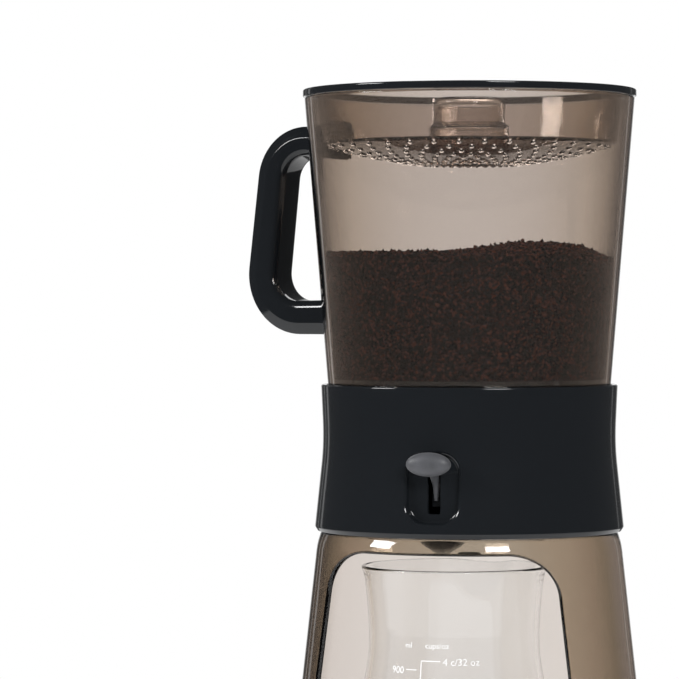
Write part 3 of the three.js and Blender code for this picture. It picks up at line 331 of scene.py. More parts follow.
def corner_arc(before, corner, after, radius, steps):
    """Points of the rounded corner between two straight runs."""
    back = (before - corner).normalized()
    ahead = (after - corner).normalized()
    half = back.angle(ahead) / 2
    centre = corner + (back + ahead).normalized() * radius / math.sin(half)
    reach = radius / math.tan(half)
    return outline_arc(corner + back * reach, corner + ahead * reach, centre, steps)


def filleted(corners, steps=4):
    """Outline points from corners (x, y) or (x, y, radius), with an arc where a radius is given."""
    points = []
    for i, corner in enumerate(corners):
        here = Vector(corner[:2])
        if len(corner) > 2:
            before, after = (Vector(corners[k % len(corners)][:2]) for k in (i - 1, i + 1))
            points += corner_arc(before, here, after, corner[2], steps)
        else:
            points.append(here)
    return [tuple(point) for point in points]


def spread(first, last, steps):
    """Even values from first to last, both included."""
    return [first + (last - first) * i / steps for i in range(steps + 1)]


def full_turn(steps):
    """Even angles of one whole turn."""
    return spread(0.0, math.tau, steps)[:-1]


def cone_radius(foot_radius, top_radius, foot_z, height):
    """The radius of a cone as a function of height."""
    return lambda z: foot_radius + (top_radius - foot_radius) * (z - foot_z) / height


def supported(profile, closed):
    """The profile with a point close to each end of its long runs."""
    runs = list(zip(profile, profile[1:]))
    if closed:
        runs.append((profile[-1], profile[0]))
    points = []
    for a, b in runs:
        points.append(a)
        reach = math.dist(a, b)
        if reach > LONG_RUN:
            near = SUPPORT_REACH / reach
            points += [tuple(Vector(a).lerp(Vector(b), along)) for along in (near, 1 - near)]
    return points if closed else [*points, profile[-1]]


def turned(profile, steps=ROUND_STEPS, closed=True):
    """Vertices and faces of a profile of (radius, height) pairs turned about Z."""
    vertices = []
    rings = []
    closed = closed and profile[0][0] > MERGE_DISTANCE
    for radius, z in supported(profile, closed):
        if radius < MERGE_DISTANCE:
            rings.append([len(vertices)] * steps)
            vertices.append((0.0, 0.0, z))
            continue
        rings.append(list(range(len(vertices), len(vertices) + steps)))
        vertices += [(*on_circle(radius, angle), z) for angle in full_turn(steps)]
    pairs = list(zip(rings, rings[1:]))
    if closed:
        pairs.append((rings[-1], rings[0]))
    return vertices, [face for a, b in pairs for face in ring_faces(a, b)]


def ring_faces(lower, upper):
    """Faces between two closed rings of vertex numbers, with triangles where a ring is one point."""
    faces = []
    for i, a in enumerate(lower):
        b = lower[(i + 1) % len(lower)]
        c = upper[(i + 1) % len(upper)]
        faces.append(list(dict.fromkeys((a, b, c, upper[i]))))
    return [face for face in faces if len(face) > 2]


def joined(*parts):
    """Several (vertices, faces) as one."""
    vertices = []
    faces = []
    for part_vertices, part_faces in parts:
        start = len(vertices)
        vertices += part_vertices
        faces += [[start + i for i in face] for face in part_faces]
    return vertices, faces


def moved(part, offset):
    """(vertices, faces) shifted by an offset."""
    vertices, faces = part
    return [tuple(Vector(point) + Vector(offset)) for point in vertices], faces


def tube(rings):
    """An open skin over closed rings of points."""
    count = len(rings[0])
    faces = []
    for first in range(0, count * (len(rings) - 1), count):
        lower = list(range(first, first + count))
        faces += ring_faces(lower, [i + count for i in lower])
    return [point for ring in rings for point in ring], faces


def lofted(rings):
    """A closed skin over rings of points, with a fan at each end."""
    vertices, faces = tube(rings)
    count = len(rings[0])
    for ring, first in ((rings[0], 0), (rings[-1], (len(rings) - 1) * count)):
        middle = sum((Vector(point) for point in ring), Vector()) / count
        faces += ring_faces(list(range(first, first + count)), [len(vertices)] * count)
        vertices.append(tuple(middle))
    return vertices, faces


def slab(outline, near, far):
    """A solid with a (y, z) outline, between two places on X."""
    return lofted([[(x, y, z) for y, z in outline] for x in (near, far)])


def mesh_from(name, part, sharp):
    """A mesh with merged points, faces that point out and sharp edges past an angle."""
    vertices, faces = part
    mesh = bpy.data.meshes.new(name)
    mesh.from_pydata([tuple(point) for point in vertices], [], faces)
    work = bmesh.new()
    work.from_mesh(mesh)
    bmesh.ops.remove_doubles(work, verts=work.verts, dist=MERGE_DISTANCE)
    bmesh.ops.recalc_face_normals(work, faces=work.faces)
    loose = [edge for edge in work.edges if not edge.is_manifold]
    work.to_mesh(mesh)
    work.free()
    if loose:
        raise RuntimeError(f"{name} has {len(loose)} open edges")
    mesh.shade_smooth()
    mesh.set_sharp_from_angle(angle=math.radians(sharp))
    return mesh


def coat(data, material):
    """Gives a mesh one material in place of its own."""
    data.materials.clear()
    data.materials.append(material)


def add_piece(name, part, material, body, replaces=(), sharp=SHARP_DEGREES):
    """A finished piece in the scene, riding on its body."""
    piece = bpy.data.objects.new(name, mesh_from(name, part, sharp))
    bpy.context.scene.collection.objects.link(piece)
    coat(piece.data, material)
    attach(piece, body)
    if replaces:
        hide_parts(*replaces)
    return piece


def combine(piece, tool, operation):
    """Applies a boolean of the tool to the piece and deletes the tool."""
    modifier = piece.modifiers.new(operation, "BOOLEAN")
    modifier.operation = operation
    modifier.solver = "EXACT"
    modifier.object = tool
    depsgraph = bpy.context.evaluated_depsgraph_get()
    mesh = bpy.data.meshes.new_from_object(piece.evaluated_get(depsgraph))
    piece.modifiers.clear()
    piece.data = mesh
    bpy.data.objects.remove(tool)


def loose_object(name, part):
    """A helper solid for a boolean."""
    tool = bpy.data.objects.new(name, mesh_from(name, part, SHARP_DEGREES))
    bpy.context.scene.collection.objects.link(tool)
    return tool


def set_inputs(node, values):
    """Sets constants on a node's inputs."""
    for key, value in values.items():
        node.inputs[key].default_value = value


class NodeWork:
    """Adds and joins nodes in one material's or world's tree."""

    columns, across, down = 6, 220, 300

    def __init__(self, tree):
        self.tree = tree
        self.place = 0

    def add(self, kind, inputs=None, **values):
        node = self.tree.nodes.new(kind)
        node.location = (self.place % self.columns * self.across, -self.place // self.columns * self.down)
        self.place += 1
        for key, value in values.items():
            setattr(node, key, value)
        set_inputs(node, inputs or {})
        return node

    def join(self, output, socket):
        self.tree.links.new(output, socket)

    def maths(self, operation, *inputs):
        node = self.add("ShaderNodeMath", operation=operation)
        for socket, value in zip(node.inputs, inputs):
            if isinstance(value, (int, float)):
                socket.default_value = value
            else:
                self.join(value, socket)
        return node.outputs[0]

    def noise(self, vector, scale, detail=3.0, roughness=0.5):
        node = self.add("ShaderNodeTexNoise", {"Scale": scale, "Detail": detail, "Roughness": roughness})
        self.join(vector, node.inputs["Vector"])
        return node.outputs["Fac"]

    def remap(self, value, from_low, from_high, to_low, to_high):
        node = self.add("ShaderNodeMapRange", {
            "From Min": from_low, "From Max": from_high, "To Min": to_low, "To Max": to_high,
        })
        self.join(value, node.inputs["Value"])
        return node.outputs["Result"]

    def ramp(self, value, stops):
        node = self.add("ShaderNodeValToRGB")
        elements = node.color_ramp.elements
        while len(elements) < len(stops):
            elements.new(1.0)
        for element, (position, colour) in zip(elements, stops):
            element.position = position
            element.color = (*colour, 1.0)
        self.join(value, node.inputs["Fac"])
        return node.outputs["Color"]

    def bump(self, height, strength, distance):
        node = self.add("ShaderNodeBump", {"Strength": strength, "Distance": distance})
        self.join(height, node.inputs["Height"])
        return node.outputs["Normal"]

    def split(self, vector):
        """The three parts of a vector."""
        node = self.add("ShaderNodeSeparateXYZ")
        self.join(vector, node.inputs[0])
        return node.outputs

    def object_place(self):
        return self.add("ShaderNodeTexCoord").outputs["Object"]

    def round_place(self, upright_share):
        """Coordinates that run round the axis, drawn out along Z."""
        x, y, z = self.split(self.object_place())
        angle = self.maths("ARCTAN2", y, x)
        joint = self.add("ShaderNodeCombineXYZ")
        self.join(self.maths("COSINE", angle), joint.inputs[0])
        self.join(self.maths("SINE", angle), joint.inputs[1])
        self.join(self.maths("MULTIPLY", z, upright_share), joint.inputs[2])
        return joint.outputs[0]


def new_material(name, colour, roughness, **inputs):
    """A material with its Principled shader and a worker for its nodes."""
    material = bpy.data.materials.new(name)
    material.use_nodes = True
    shader = material.node_tree.nodes["Principled BSDF"]
    set_inputs(shader, {"Base Color": (*colour, 1.0), "Roughness": roughness, "IOR": 1.5, **inputs})
    return material, shader, NodeWork(material.node_tree)


def shade(colour, factor):
    """A colour made darker or lighter."""
    return tuple(min(1.0, value * factor) for value in colour)


def smoke_plastic(name, finishes, stops):
    """Polished smoke plastic, tinted right through, with faint upright moulding streaks.

    Gives its material, shader and worker, and a ramp of painted shade that darkens its colour where it is
    seen at a slant, towards the flanks.
    """
    clear = {"IOR": 1.49, "Transmission Weight": 1.0}
    material, shader, work = new_material(name, (1.0, 1.0, 1.0), 0.02, **clear)
    streak = work.noise(work.round_place(1.2), 16.0, 3.0, 0.6)
    work.join(work.remap(streak, 0.3, 0.7, 0.012, 0.045), shader.inputs["Roughness"])
    work.join(work.bump(streak, 0.05, 0.0006), shader.inputs["Normal"])
    # Painted shade: the colour ramp darkens the plastic where its surface is seen at a slant
    slant = work.add("ShaderNodeLayerWeight").outputs["Facing"]
    depth = work.ramp(slant, stops)
    tinted = work.add("ShaderNodeVolumeAbsorption", {"Color": (*finishes.smoke, 1.0), "Density": 200.0})
    work.join(tinted.outputs[0], material.node_tree.nodes["Material Output"].inputs["Volume"])
    return material, shader, work, depth


def tinted_smoke(finishes):
    """Smoke plastic of the container and the lid, with painted shade that darkens it towards the flanks."""
    # Painted shade: near white where the plastic faces the view, darker towards the flanks
    stops = (
        (0.0, (0.96, 0.955, 0.955)),
        (0.1, (0.93, 0.92, 0.91)),
        (0.35, (0.86, 0.83, 0.78)),
        (0.54, (0.61, 0.58, 0.54)),
        (0.68, (0.35, 0.335, 0.32)),
        (0.82, (0.14, 0.14, 0.15)),
        (1.0, (0.15, 0.15, 0.16)),
    )
    material, shader, work, depth = smoke_plastic("tinted_smoke", finishes, stops)
    work.join(depth, shader.inputs["Base Color"])
    return material


def stand_smoke(finishes):
    """Smoke plastic of the stand, with painted shade that darkens the front wall that holds the arch, more
    so towards its flanks, while the back wall stays clear.
    """
    stops = (
        (0.0, (0.68, 0.65, 0.56)),
        (0.18, (0.62, 0.55, 0.44)),
        (0.35, (0.50, 0.43, 0.35)),
        (0.55, (0.28, 0.26, 0.20)),
        (0.7, (0.12, 0.11, 0.10)),
        (1.0, (0.05, 0.05, 0.05)),
    )
    material, shader, work, depth = smoke_plastic("stand_smoke", finishes, stops)
    # Painted shade: only the front half of the wall takes the darker ramp, the back half stays white
    front = work.remap(work.split(work.object_place())[1], 0.02, -0.02, 0.0, 1.0)
    mix = work.add("ShaderNodeMix", data_type="RGBA")
    # Sockets 6 and 7 are A and B of a colour mix, and output 2 is its result
    mix.inputs[6].default_value = (1.0, 1.0, 1.0, 1.0)
    work.join(front, mix.inputs["Factor"])
    work.join(depth, mix.inputs[7])
    work.join(mix.outputs[2], shader.inputs["Base Color"])
    return material


def polished_black(finishes):
    """Polished black plastic with a soft mould waviness and fine rubbed haze."""
    material, shader, work = new_material("polished_black", finishes.black, 0.07)
    place = work.object_place()
    haze = work.noise(place, 900.0, 4.0, 0.7)
    work.join(work.remap(haze, 0.3, 0.75, 0.055, 0.13), shader.inputs["Roughness"])
    wave = work.noise(work.round_place(3.0), 9.0, 2.0, 0.5)
    work.join(work.bump(wave, 0.03, 0.0008), shader.inputs["Normal"])
    return material


def satin_black(finishes):
    """Satin black plastic with a fine spark grain."""
    material, shader, work = new_material("satin_black", finishes.satin, 0.42)
    grain = work.noise(work.object_place(), 2600.0, 5.0, 0.65)
    work.join(work.remap(grain, 0.3, 0.7, 0.36, 0.5), shader.inputs["Roughness"])
    work.join(work.bump(grain, 0.25, 0.00006), shader.inputs["Normal"])
    return material


def soft_grey(finishes):
    """Soft grey touch surface, a little darker where it is rubbed."""
    material, shader, work = new_material("soft_grey", finishes.grip, 0.5, **{"Sheen Weight": 0.15})
    place = work.object_place()
    cloud = work.noise(place, 140.0, 3.0, 0.6)
    stops = ((0.3, shade(finishes.grip, 0.8)), (0.7, shade(finishes.grip, 1.18)))
    work.join(work.ramp(cloud, stops), shader.inputs["Base Color"])
    grain = work.noise(place, 3200.0, 4.0, 0.6)
    work.join(work.remap(grain, 0.3, 0.7, 0.4, 0.58), shader.inputs["Roughness"])
    work.join(work.bump(grain, 0.2, 0.00005), shader.inputs["Normal"])
    return material


def blown_glass(finishes):
    """Clear borosilicate glass with the faint ripple of blown glass."""
    clear = {"IOR": 1.47, "Transmission Weight": 1.0}
    material, shader, work = new_material("blown_glass", (0.985, 0.99, 0.99), 0.0, **clear)
    ripple = work.noise(work.round_place(2.5), 5.0, 2.0, 0.5)
    work.join(work.bump(ripple, 0.05, 0.0007), shader.inputs["Normal"])
    return material


def coarse_coffee(finishes):
    """Coarse ground coffee: brown grains with bumped gaps between them, random tones down to a dark painted
    shade, and painted light that makes it lighter where it faces up.
    """
    dull = {"Specular IOR Level": 0.08}
    material, shader, work = new_material("coarse_coffee", finishes.coffee_mid, 0.85, **dull)
    place = work.object_place()
    cells = work.add("ShaderNodeTexVoronoi", {"Scale": 950.0, "Randomness": 1.0})
    work.join(place, cells.inputs["Vector"])
    tone = work.add("ShaderNodeSeparateColor")
    work.join(cells.outputs["Color"], tone.inputs[0])
    clump = work.noise(place, 420.0, 4.0, 0.7)
    single = work.maths("MULTIPLY", tone.outputs[0], 0.5)
    tone_and_painted_light = work.maths("ADD", single, work.maths("MULTIPLY", clump, 0.6))
    # Painted light: the faces that point up get a lighter colour
    upward = work.split(work.add("ShaderNodeNewGeometry").outputs["Normal"])[2]
    tone_and_painted_light = work.maths("ADD", tone_and_painted_light, work.remap(upward, 0.15, 0.8, 0.0, 0.34))
    # The dark end of the ramp is painted shade as well as random tone, and the light end is painted light as
    # well as random tone
    stops = ((0.35, finishes.coffee_dark), (0.62, finishes.coffee_mid), (0.95, finishes.coffee_light))
    work.join(work.ramp(tone_and_painted_light, stops), shader.inputs["Base Color"])
    height = work.maths("ADD", work.maths("MULTIPLY", cells.outputs["Distance"], -1.0), clump)
    work.join(work.bump(height, 0.9, 0.0006), shader.inputs["Normal"])
    return material


def drawn_steel(finishes):
    """Bright drawn steel with fine lines."""
    material, shader, work = new_material("drawn_steel", finishes.steel, 0.28, Metallic=1.0)
    lines = work.noise(work.object_place(), 1400.0, 3.0, 0.6)
    work.join(work.remap(lines, 0.3, 0.7, 0.2, 0.36), shader.inputs["Roughness"])
    return material


def woven_wire(finishes):
    """Fine woven steel wire cloth."""
    material, shader, work = new_material("woven_wire", finishes.steel, 0.3, Metallic=1.0)
    waves = []
    for direction in ("X", "Y"):
        wave = work.add("ShaderNodeTexWave", {"Scale": 900.0}, wave_type="BANDS", bands_direction=direction)
        work.join(work.object_place(), wave.inputs["Vector"])
        waves.append(wave.outputs["Fac"])
    weave = work.maths("MULTIPLY", *waves)
    stops = ((0.05, shade(finishes.steel, 0.25)), (0.6, finishes.steel))
    work.join(work.ramp(weave, stops), shader.inputs["Base Color"])
    work.join(work.bump(weave, 0.6, 0.0001), shader.inputs["Normal"])
    return material


def grey_rubber(finishes):
    """Matt silicone rubber with a dusty bloom."""
    material, shader, work = new_material("grey_rubber", finishes.silicone, 0.6)
    bloom = work.noise(work.object_place(), 300.0, 4.0, 0.6)
    stops = ((0.3, shade(finishes.silicone, 0.75)), (0.7, finishes.silicone))
    work.join(work.ramp(bloom, stops), shader.inputs["Base Color"])
    work.join(work.remap(bloom, 0.3, 0.7, 0.5, 0.7), shader.inputs["Roughness"])
    return material


def fired_white(finishes):
    """Fired white print, slightly uneven."""
    material, shader, work = new_material("fired_white", finishes.print_white, 0.45)
    patch = work.noise(work.object_place(), 1800.0, 3.0, 0.6)
    stops = ((0.25, shade(finishes.print_white, 0.88)), (0.6, finishes.print_white))
    work.join(work.ramp(patch, stops), shader.inputs["Base Color"])
    return material


def finish(make, context):
    """The material that a function makes, made the first time it is asked for."""
    return bpy.data.materials.get(make.__name__) or make(context.scene.brewer_finishes)


def stand_radius(sizes):
    """The stand's outer radius as a function of height: a cone that draws in under the collar."""
    cone = cone_radius(sizes.foot_radius, sizes.top_radius, 0.0, sizes.height)

    def radius_at(z):
        above = max(0.0, (z - sizes.shoulder_start) / (sizes.height - sizes.shoulder_start))
        return cone(z) - sizes.shoulder_draw * above ** 2

    return radius_at


def arch_outline(sizes):
    """The arch's (x, z) points from its left foot over the crown to its right foot."""
    corners = [
        (-sizes.arch_foot_half, sizes.floor_top),
        (-sizes.arch_crown_half, sizes.arch_top, sizes.arch_corner),
        (sizes.arch_crown_half, sizes.arch_top, sizes.arch_corner),
        (sizes.arch_foot_half, sizes.floor_top),
    ]
    return filleted(corners, 24)


def resampled(points, step):
    """Points at even spacing along a polyline, both ends kept."""
    points = np.array(points)
    gaps = np.hypot(*np.diff(points, axis=0).T)
    along = np.concatenate([[0.0], np.cumsum(gaps)])
    wanted = np.linspace(0.0, along[-1], max(2, round(along[-1] / step)) + 1)
    return np.stack([np.interp(wanted, along, points[:, k]) for k in (0, 1)], axis=1)


def inside_polygon(points, polygon):
    """For each point, true where it lies in a closed polygon."""
    x, y = points[:, 0, None], points[:, 1, None]
    ends = np.roll(polygon, -1, axis=0)
    rise = np.where(ends[:, 1] == polygon[:, 1], 1.0, ends[:, 1] - polygon[:, 1])
    spans = (polygon[None, :, 1] > y) != (ends[None, :, 1] > y)
    meets = polygon[None, :, 0] + (y - polygon[None, :, 1]) * ((ends - polygon)[:, 0] / rise)[None]
    return np.sum(spans & (x < meets), axis=1) % 2 == 1


def chain_normals(points):
    """Unit vectors to the right of an open chain of points."""
    ahead = np.diff(points, axis=0)
    ahead /= np.linalg.norm(ahead, axis=1)[:, None]
    mean = np.vstack([ahead[:1], (ahead[1:] + ahead[:-1]) / 2, ahead[-1:]])
    mean /= np.maximum(np.sum(mean * mean, axis=1), 0.4)[:, None]
    return np.stack([mean[:, 1], -mean[:, 0]], axis=1)


def sheet_points(loop, half, low_z, top_z, step):
    """Points inside the border loop of a flat sheet, in staggered rows."""
    row_step, border_room = step * 0.87, step * 0.55
    rows = spread(low_z, top_z, round((top_z - low_z) / row_step))[1:-1]
    columns = round(2 * half / step)
    grid = np.array([
        (-half + 2 * half * (column + 0.25 + 0.5 * (row % 2)) / columns, z)
        for row, z in enumerate(rows)
        for column in range(columns)
    ])
    near = np.min(np.hypot(grid[:, None, 0] - loop[None, :, 0], grid[:, None, 1] - loop[None, :, 1]), axis=1)
    grid = grid[near > border_room]
    return grid[inside_polygon(grid, loop)]


def triangulated(loop, inner, zoom=100.0):
    """Points and triangles of a flat sheet, worked out at a larger size for the sake of precision."""
    flat = [Vector(point) * zoom for point in [*loop, *inner]]
    found, _, triangles, *_ = delaunay_2d_cdt(flat, [], [list(range(len(loop)))], 1, 1e-7)
    return [tuple(point / zoom) for point in found], triangles


def edge_rows(edge, wall, steps=6):
    """A wall's rounded edge as (growth past the sheet's border, depth in the wall)."""
    rows = [(edge * math.sin(t) - edge, edge * (1 - math.cos(t))) for t in spread(0.0, math.pi / 2, steps)]
    return rows + [(grown, wall - depth) for grown, depth in reversed(rows)]


def stand_wall_part(sizes, step=0.0026, edge_step=0.0011):
    """The stand's wall: two triangulated skins with the arch left out, joined by a rounded edge."""
    radius_at = stand_radius(sizes)
    middle = (sizes.foot_radius + sizes.top_radius) / 2
    hair = 0.00005
    low_z, top_z = sizes.floor_top + hair, sizes.height
    half = math.pi * middle
    arch = [(math.asin(x / radius_at(z)) * middle, max(z, low_z)) for x, z in arch_outline(sizes)]
    foot = [(-half, low_z), arch[0]]
    lower = np.vstack([
        resampled(foot, step)[:-1],
        resampled(arch, edge_step),
        resampled([(-x, z) for x, z in foot][::-1], step)[1:],
    ])
    upper = resampled([(half, top_z), (-half, top_z)], step)
    chains = []
    for chain, end_normal in ((lower, (0.0, -1.0)), (upper, (0.0, 1.0))):
        outward = chain_normals(chain)
        outward[0] = outward[-1] = end_normal
        chains.append((chain, outward))

    def place(point, depth):
        angle = point[0] / middle
        radius = radius_at(point[1]) - depth
        return radius * math.sin(angle), -radius * math.cos(angle), point[1]

    def shifted(chain, outward, amount):
        stretch = middle / np.array([radius_at(z) for _, z in chain])
        return chain + outward * amount * np.stack([stretch, np.ones(len(chain))], axis=1)

    seam = spread(low_z, top_z, round((top_z - low_z) / step))[1:-1]
    right = np.array([(half, z) for z in seam])
    left = np.array([(-half, z) for z in seam[::-1]])
    foot_edge, top_edge = (shifted(chain, outward, -sizes.edge) for chain, outward in chains)
    loop = np.vstack([foot_edge, right, top_edge, left])
    sheet, triangles = triangulated(loop, sheet_points(loop, half, low_z, top_z, step))
    parts = [([place(point, depth) for point in sheet], triangles) for depth in (0.0, sizes.wall)]
    for chain, outward in chains:
        strip = [
            [place(point, depth) for point in shifted(chain, outward, grown)]
            for grown, depth in edge_rows(sizes.edge, sizes.wall)
        ]
        count = len(chain)
        faces = [
            [first, first + 1, first + 1 + count, first + count]
            for start in range(0, count * (len(strip) - 1), count)
            for first in range(start, start + count - 1)
        ]
        parts.append(([point for row in strip for point in row], faces))
    return joined(*parts)


class BREWER_OT_stand(Operator):
    """Smoke stand: the conical wall with its arch, and the floor"""

    bl_idname = "brewer.stand"
    bl_label = "Smoke Stand"

    def execute(self, context):
        sizes = context.scene.brewer_stand
        smoke = finish(stand_smoke, context)
        add_piece("smoke_stand_wall", stand_wall_part(sizes), smoke, "stand", ["stand_body"])
        radius_at = stand_radius(sizes)
        pad_room = high("base_pad")[0] + SEAT_GAP
        foot_z = low("stand_body")[2]
        profile = filleted([
            (0.0, sizes.floor_low),
            (pad_room, sizes.floor_low),
            (pad_room, foot_z),
            (radius_at(foot_z), foot_z, sizes.foot_chamfer),
            (radius_at(sizes.floor_top), sizes.floor_top, sizes.foot_chamfer / 2),
            (0.0, sizes.floor_top),
        ])
        add_piece("smoke_stand_floor", turned(profile), smoke, "stand")
        return {"FINISHED"}


def collar_radius(sizes, foot_z):
    """The collar's waisted outer radius as a function of height."""
    height = high("collar")[2] - foot_z

    def radius_at(z):
        rise = z - foot_z
        below = rise < sizes.waist_lift
        far_radius = sizes.foot_radius if below else sizes.top_radius
        span = sizes.waist_lift if below else height - sizes.waist_lift
        swing = abs(rise - sizes.waist_lift) / span
        bend = sizes.waist_bend
        grown = swing ** 2 / (2 * bend) if swing < bend else swing - bend / 2
        return sizes.waist_radius + (far_radius - sizes.waist_radius) * grown / (1 - bend / 2)

    return radius_at


def distance_to_box(x, z, half_width, half_height, corner):
    """Signed distance to a rounded box about the origin."""
    across = abs(x) - half_width + corner
    upright = abs(z) - half_height + corner
    outside = math.hypot(max(across, 0.0), max(upright, 0.0))
    return outside + min(max(across, upright), 0.0) - corner


def loop_round(directions, half_width, half_height, corner, lift=0.0):
    """Points where rays from the middle meet a rounded box whose centre is lifted."""
    points = []
    for x, z in directions:
        near, far = 0.0, 0.1
        for _ in range(40):
            reach = (near + far) / 2
            if distance_to_box(x * reach, z * reach - lift, half_width, half_height, corner) < 0:
                near = reach
            else:
                far = reach
        points.append((x * near, z * near))
    return points


def collar_part(sizes):
    """The collar: a turned wall whose front holds the pocket, its bevels and the lever's slot."""
    foot_z, top_z = low("collar")[2], high("collar")[2]
    radius_at = collar_radius(sizes, foot_z)
    patch_count, rest_count = 24, 150
    patch_half_angle, patch_margin = math.radians(15.5), 0.0022
    # Small steps that keep the profile's corners crisp
    step, drop = 0.0002, 0.0003
    middle_z = foot_z + sizes.pocket_lift + sizes.pocket_half_height
    patch_half_height = sizes.pocket_half_height + patch_margin
    patch_z = spread(middle_z - patch_half_height, middle_z + patch_half_height, patch_count)
    lip_z = top_z - sizes.lip
    lip_radius = radius_at(lip_z)
    above = spread(patch_z[-1], lip_z, 12)[1:]
    lip = corner_arc(
        Vector((lip_radius, foot_z)), Vector((lip_radius, top_z)), Vector((0.0, top_z)), sizes.lip, 8
    )[1:]
    chamfer_z = foot_z + sizes.chamfer * 1.4
    outer = [
        (sizes.foot_radius - sizes.chamfer, foot_z),
        (radius_at(chamfer_z) - step, chamfer_z - drop),
        (radius_at(chamfer_z + step), chamfer_z + step),
        *[(radius_at(z), z) for z in patch_z],
        *[(radius_at(z), z) for z in above],
        *[tuple(point) for point in lip],
    ]
    inner = [
        (radius_at(top_z) - sizes.wall, top_z - step),
        *[(radius_at(z) - sizes.wall, z) for z in above[::-2]],
        *[(radius_at(z) - sizes.wall, z) for z in patch_z[::-1]],
        (sizes.foot_radius - sizes.wall, foot_z + step),
    ]
    profile = outer + inner
    patch_starts = (3, len(outer) + 1 + len(above[::-2]))
    patch_rows = {row for start in patch_starts for row in range(start, start + patch_count)}
    angles = spread(-patch_half_angle, patch_half_angle, patch_count)
    angles += spread(patch_half_angle, math.tau - patch_half_angle, rest_count)[1:-1]
    count = len(angles)
    vertices = [
        (radius * math.sin(angle), -radius * math.cos(angle), z) for radius, z in profile for angle in angles
    ]
    faces = []
    for row in range(len(profile)):
        here, ahead = row * count, (row + 1) % len(profile) * count
        for a in range(patch_count if row in patch_rows else 0, count):
            b = (a + 1) % count
            faces.append([here + a, here + b, ahead + b, ahead + a])
    skins = [
        pocket_rings(sizes, radius_at, patch_half_angle, patch_z, middle_z, depth)
        for depth in (0.0, sizes.wall)
    ]
    slot = [skin[-1] for skin in skins]
    return joined((vertices, faces), *[tube(rings) for rings in (*skins, slot)])


def pocket_rings(sizes, radius_at, half_angle, patch_z, middle_z, depth):
    """Rings of one skin of the collar's front patch, from the patch's border in to the slot's edge."""
    outside = depth == 0.0
    angles = spread(-half_angle, half_angle, len(patch_z) - 1)
    border = [(angle, patch_z[0]) for angle in angles[:-1]]
    border += [(half_angle, z) for z in patch_z[:-1]]
    border += [(angle, patch_z[-1]) for angle in angles[:0:-1]]
    border += [(-half_angle, z) for z in patch_z[:0:-1]]
    waist = sizes.waist_radius
    directions = [Vector((math.sin(angle) * waist, z - middle_z)).normalized() for angle, z in border]

    def on_wall(x, z):
        radius = radius_at(z) - depth
        return x, -math.sqrt(radius ** 2 - x ** 2), z

    def pocket_loop(grown):
        half_width, half_height = sizes.pocket_half_width + grown, sizes.pocket_half_height + grown
        return loop_round(directions, half_width, half_height, sizes.pocket_corner + grown)

    rings = [[
        ((radius_at(z) - depth) * math.sin(angle), -(radius_at(z) - depth) * math.cos(angle), z)
        for angle, z in border
    ]]
    # The wall runs on unchanged up to this far outside the pocket's outline
    first_grown = 0.0006 if outside else 0.0018
    first = pocket_loop(first_grown)
    steps = 4
    for i in range(1, steps):
        rings.append([
            on_wall(x + (u - x) * i / steps, z + (middle_z + v - z) * i / steps)
            for (x, _, z), (u, v) in zip(rings[0], first)
        ])
    rings.append([on_wall(u, middle_z + v) for u, v in first])
    floor_y = -sizes.pocket_floor
    if outside:
        # Each bevel ring as (growth of the outline, drop below the wall)
        bevel = ((0.0003, 0.00003), (0.0, 0.00014), (-0.0004, 0.00035), (-0.0009, 0.0008), (-0.0012, 0.0012))
        for grown, drop in bevel:
            ring = [on_wall(u, middle_z + v) for u, v in pocket_loop(grown)]
            rings.append([(x, min(y + drop, floor_y), z) for x, y, z in ring])
        # Each floor ring as (growth of the outline, rise above the floor)
        for grown, rise in ((-0.0014, 0.0007), (-0.0016, 0.0003), (-0.0021, 0.00005), (-0.0027, 0.0)):
            rings.append([(u, floor_y - rise, middle_z + v) for u, v in pocket_loop(grown)])
    else:
        floor_y += sizes.pocket_floor_wall
        rings.append([(u, floor_y, middle_z + v) for u, v in first])
    slot_low = middle_z - sizes.pocket_half_height + sizes.slot_bottom
    slot_high = middle_z + sizes.pocket_half_height - sizes.slot_margin
    slot_half = (slot_high - slot_low) / 2
    slot_lift = (slot_high + slot_low) / 2 - middle_z
    # Each slot ring as (growth of the slot, depth below the floor)
    for grown, sunk in ((0.0004, 0.0), (0.0001, 0.0), (0.0, 0.00015)) if outside else ((0.0, 0.0),):
        half_width, corner = sizes.slot_half_width + grown, sizes.slot_corner + grown
        loop = loop_round(directions, half_width, slot_half + grown, corner, slot_lift)
        rings.append([(u, floor_y + sunk, middle_z + v) for u, v in loop])
    return rings


class BREWER_OT_collar(Operator):
    """Black collar with the switch pocket and the lever's slot"""

    bl_idname = "brewer.collar"
    bl_label = "Black Collar"

    def execute(self, context):
        sizes = context.scene.brewer_collar
        gloss = finish(polished_black, context)
        add_piece("black_collar", collar_part(sizes), gloss, "stand", ["collar"], sharp=40)
        return {"FINISHED"}


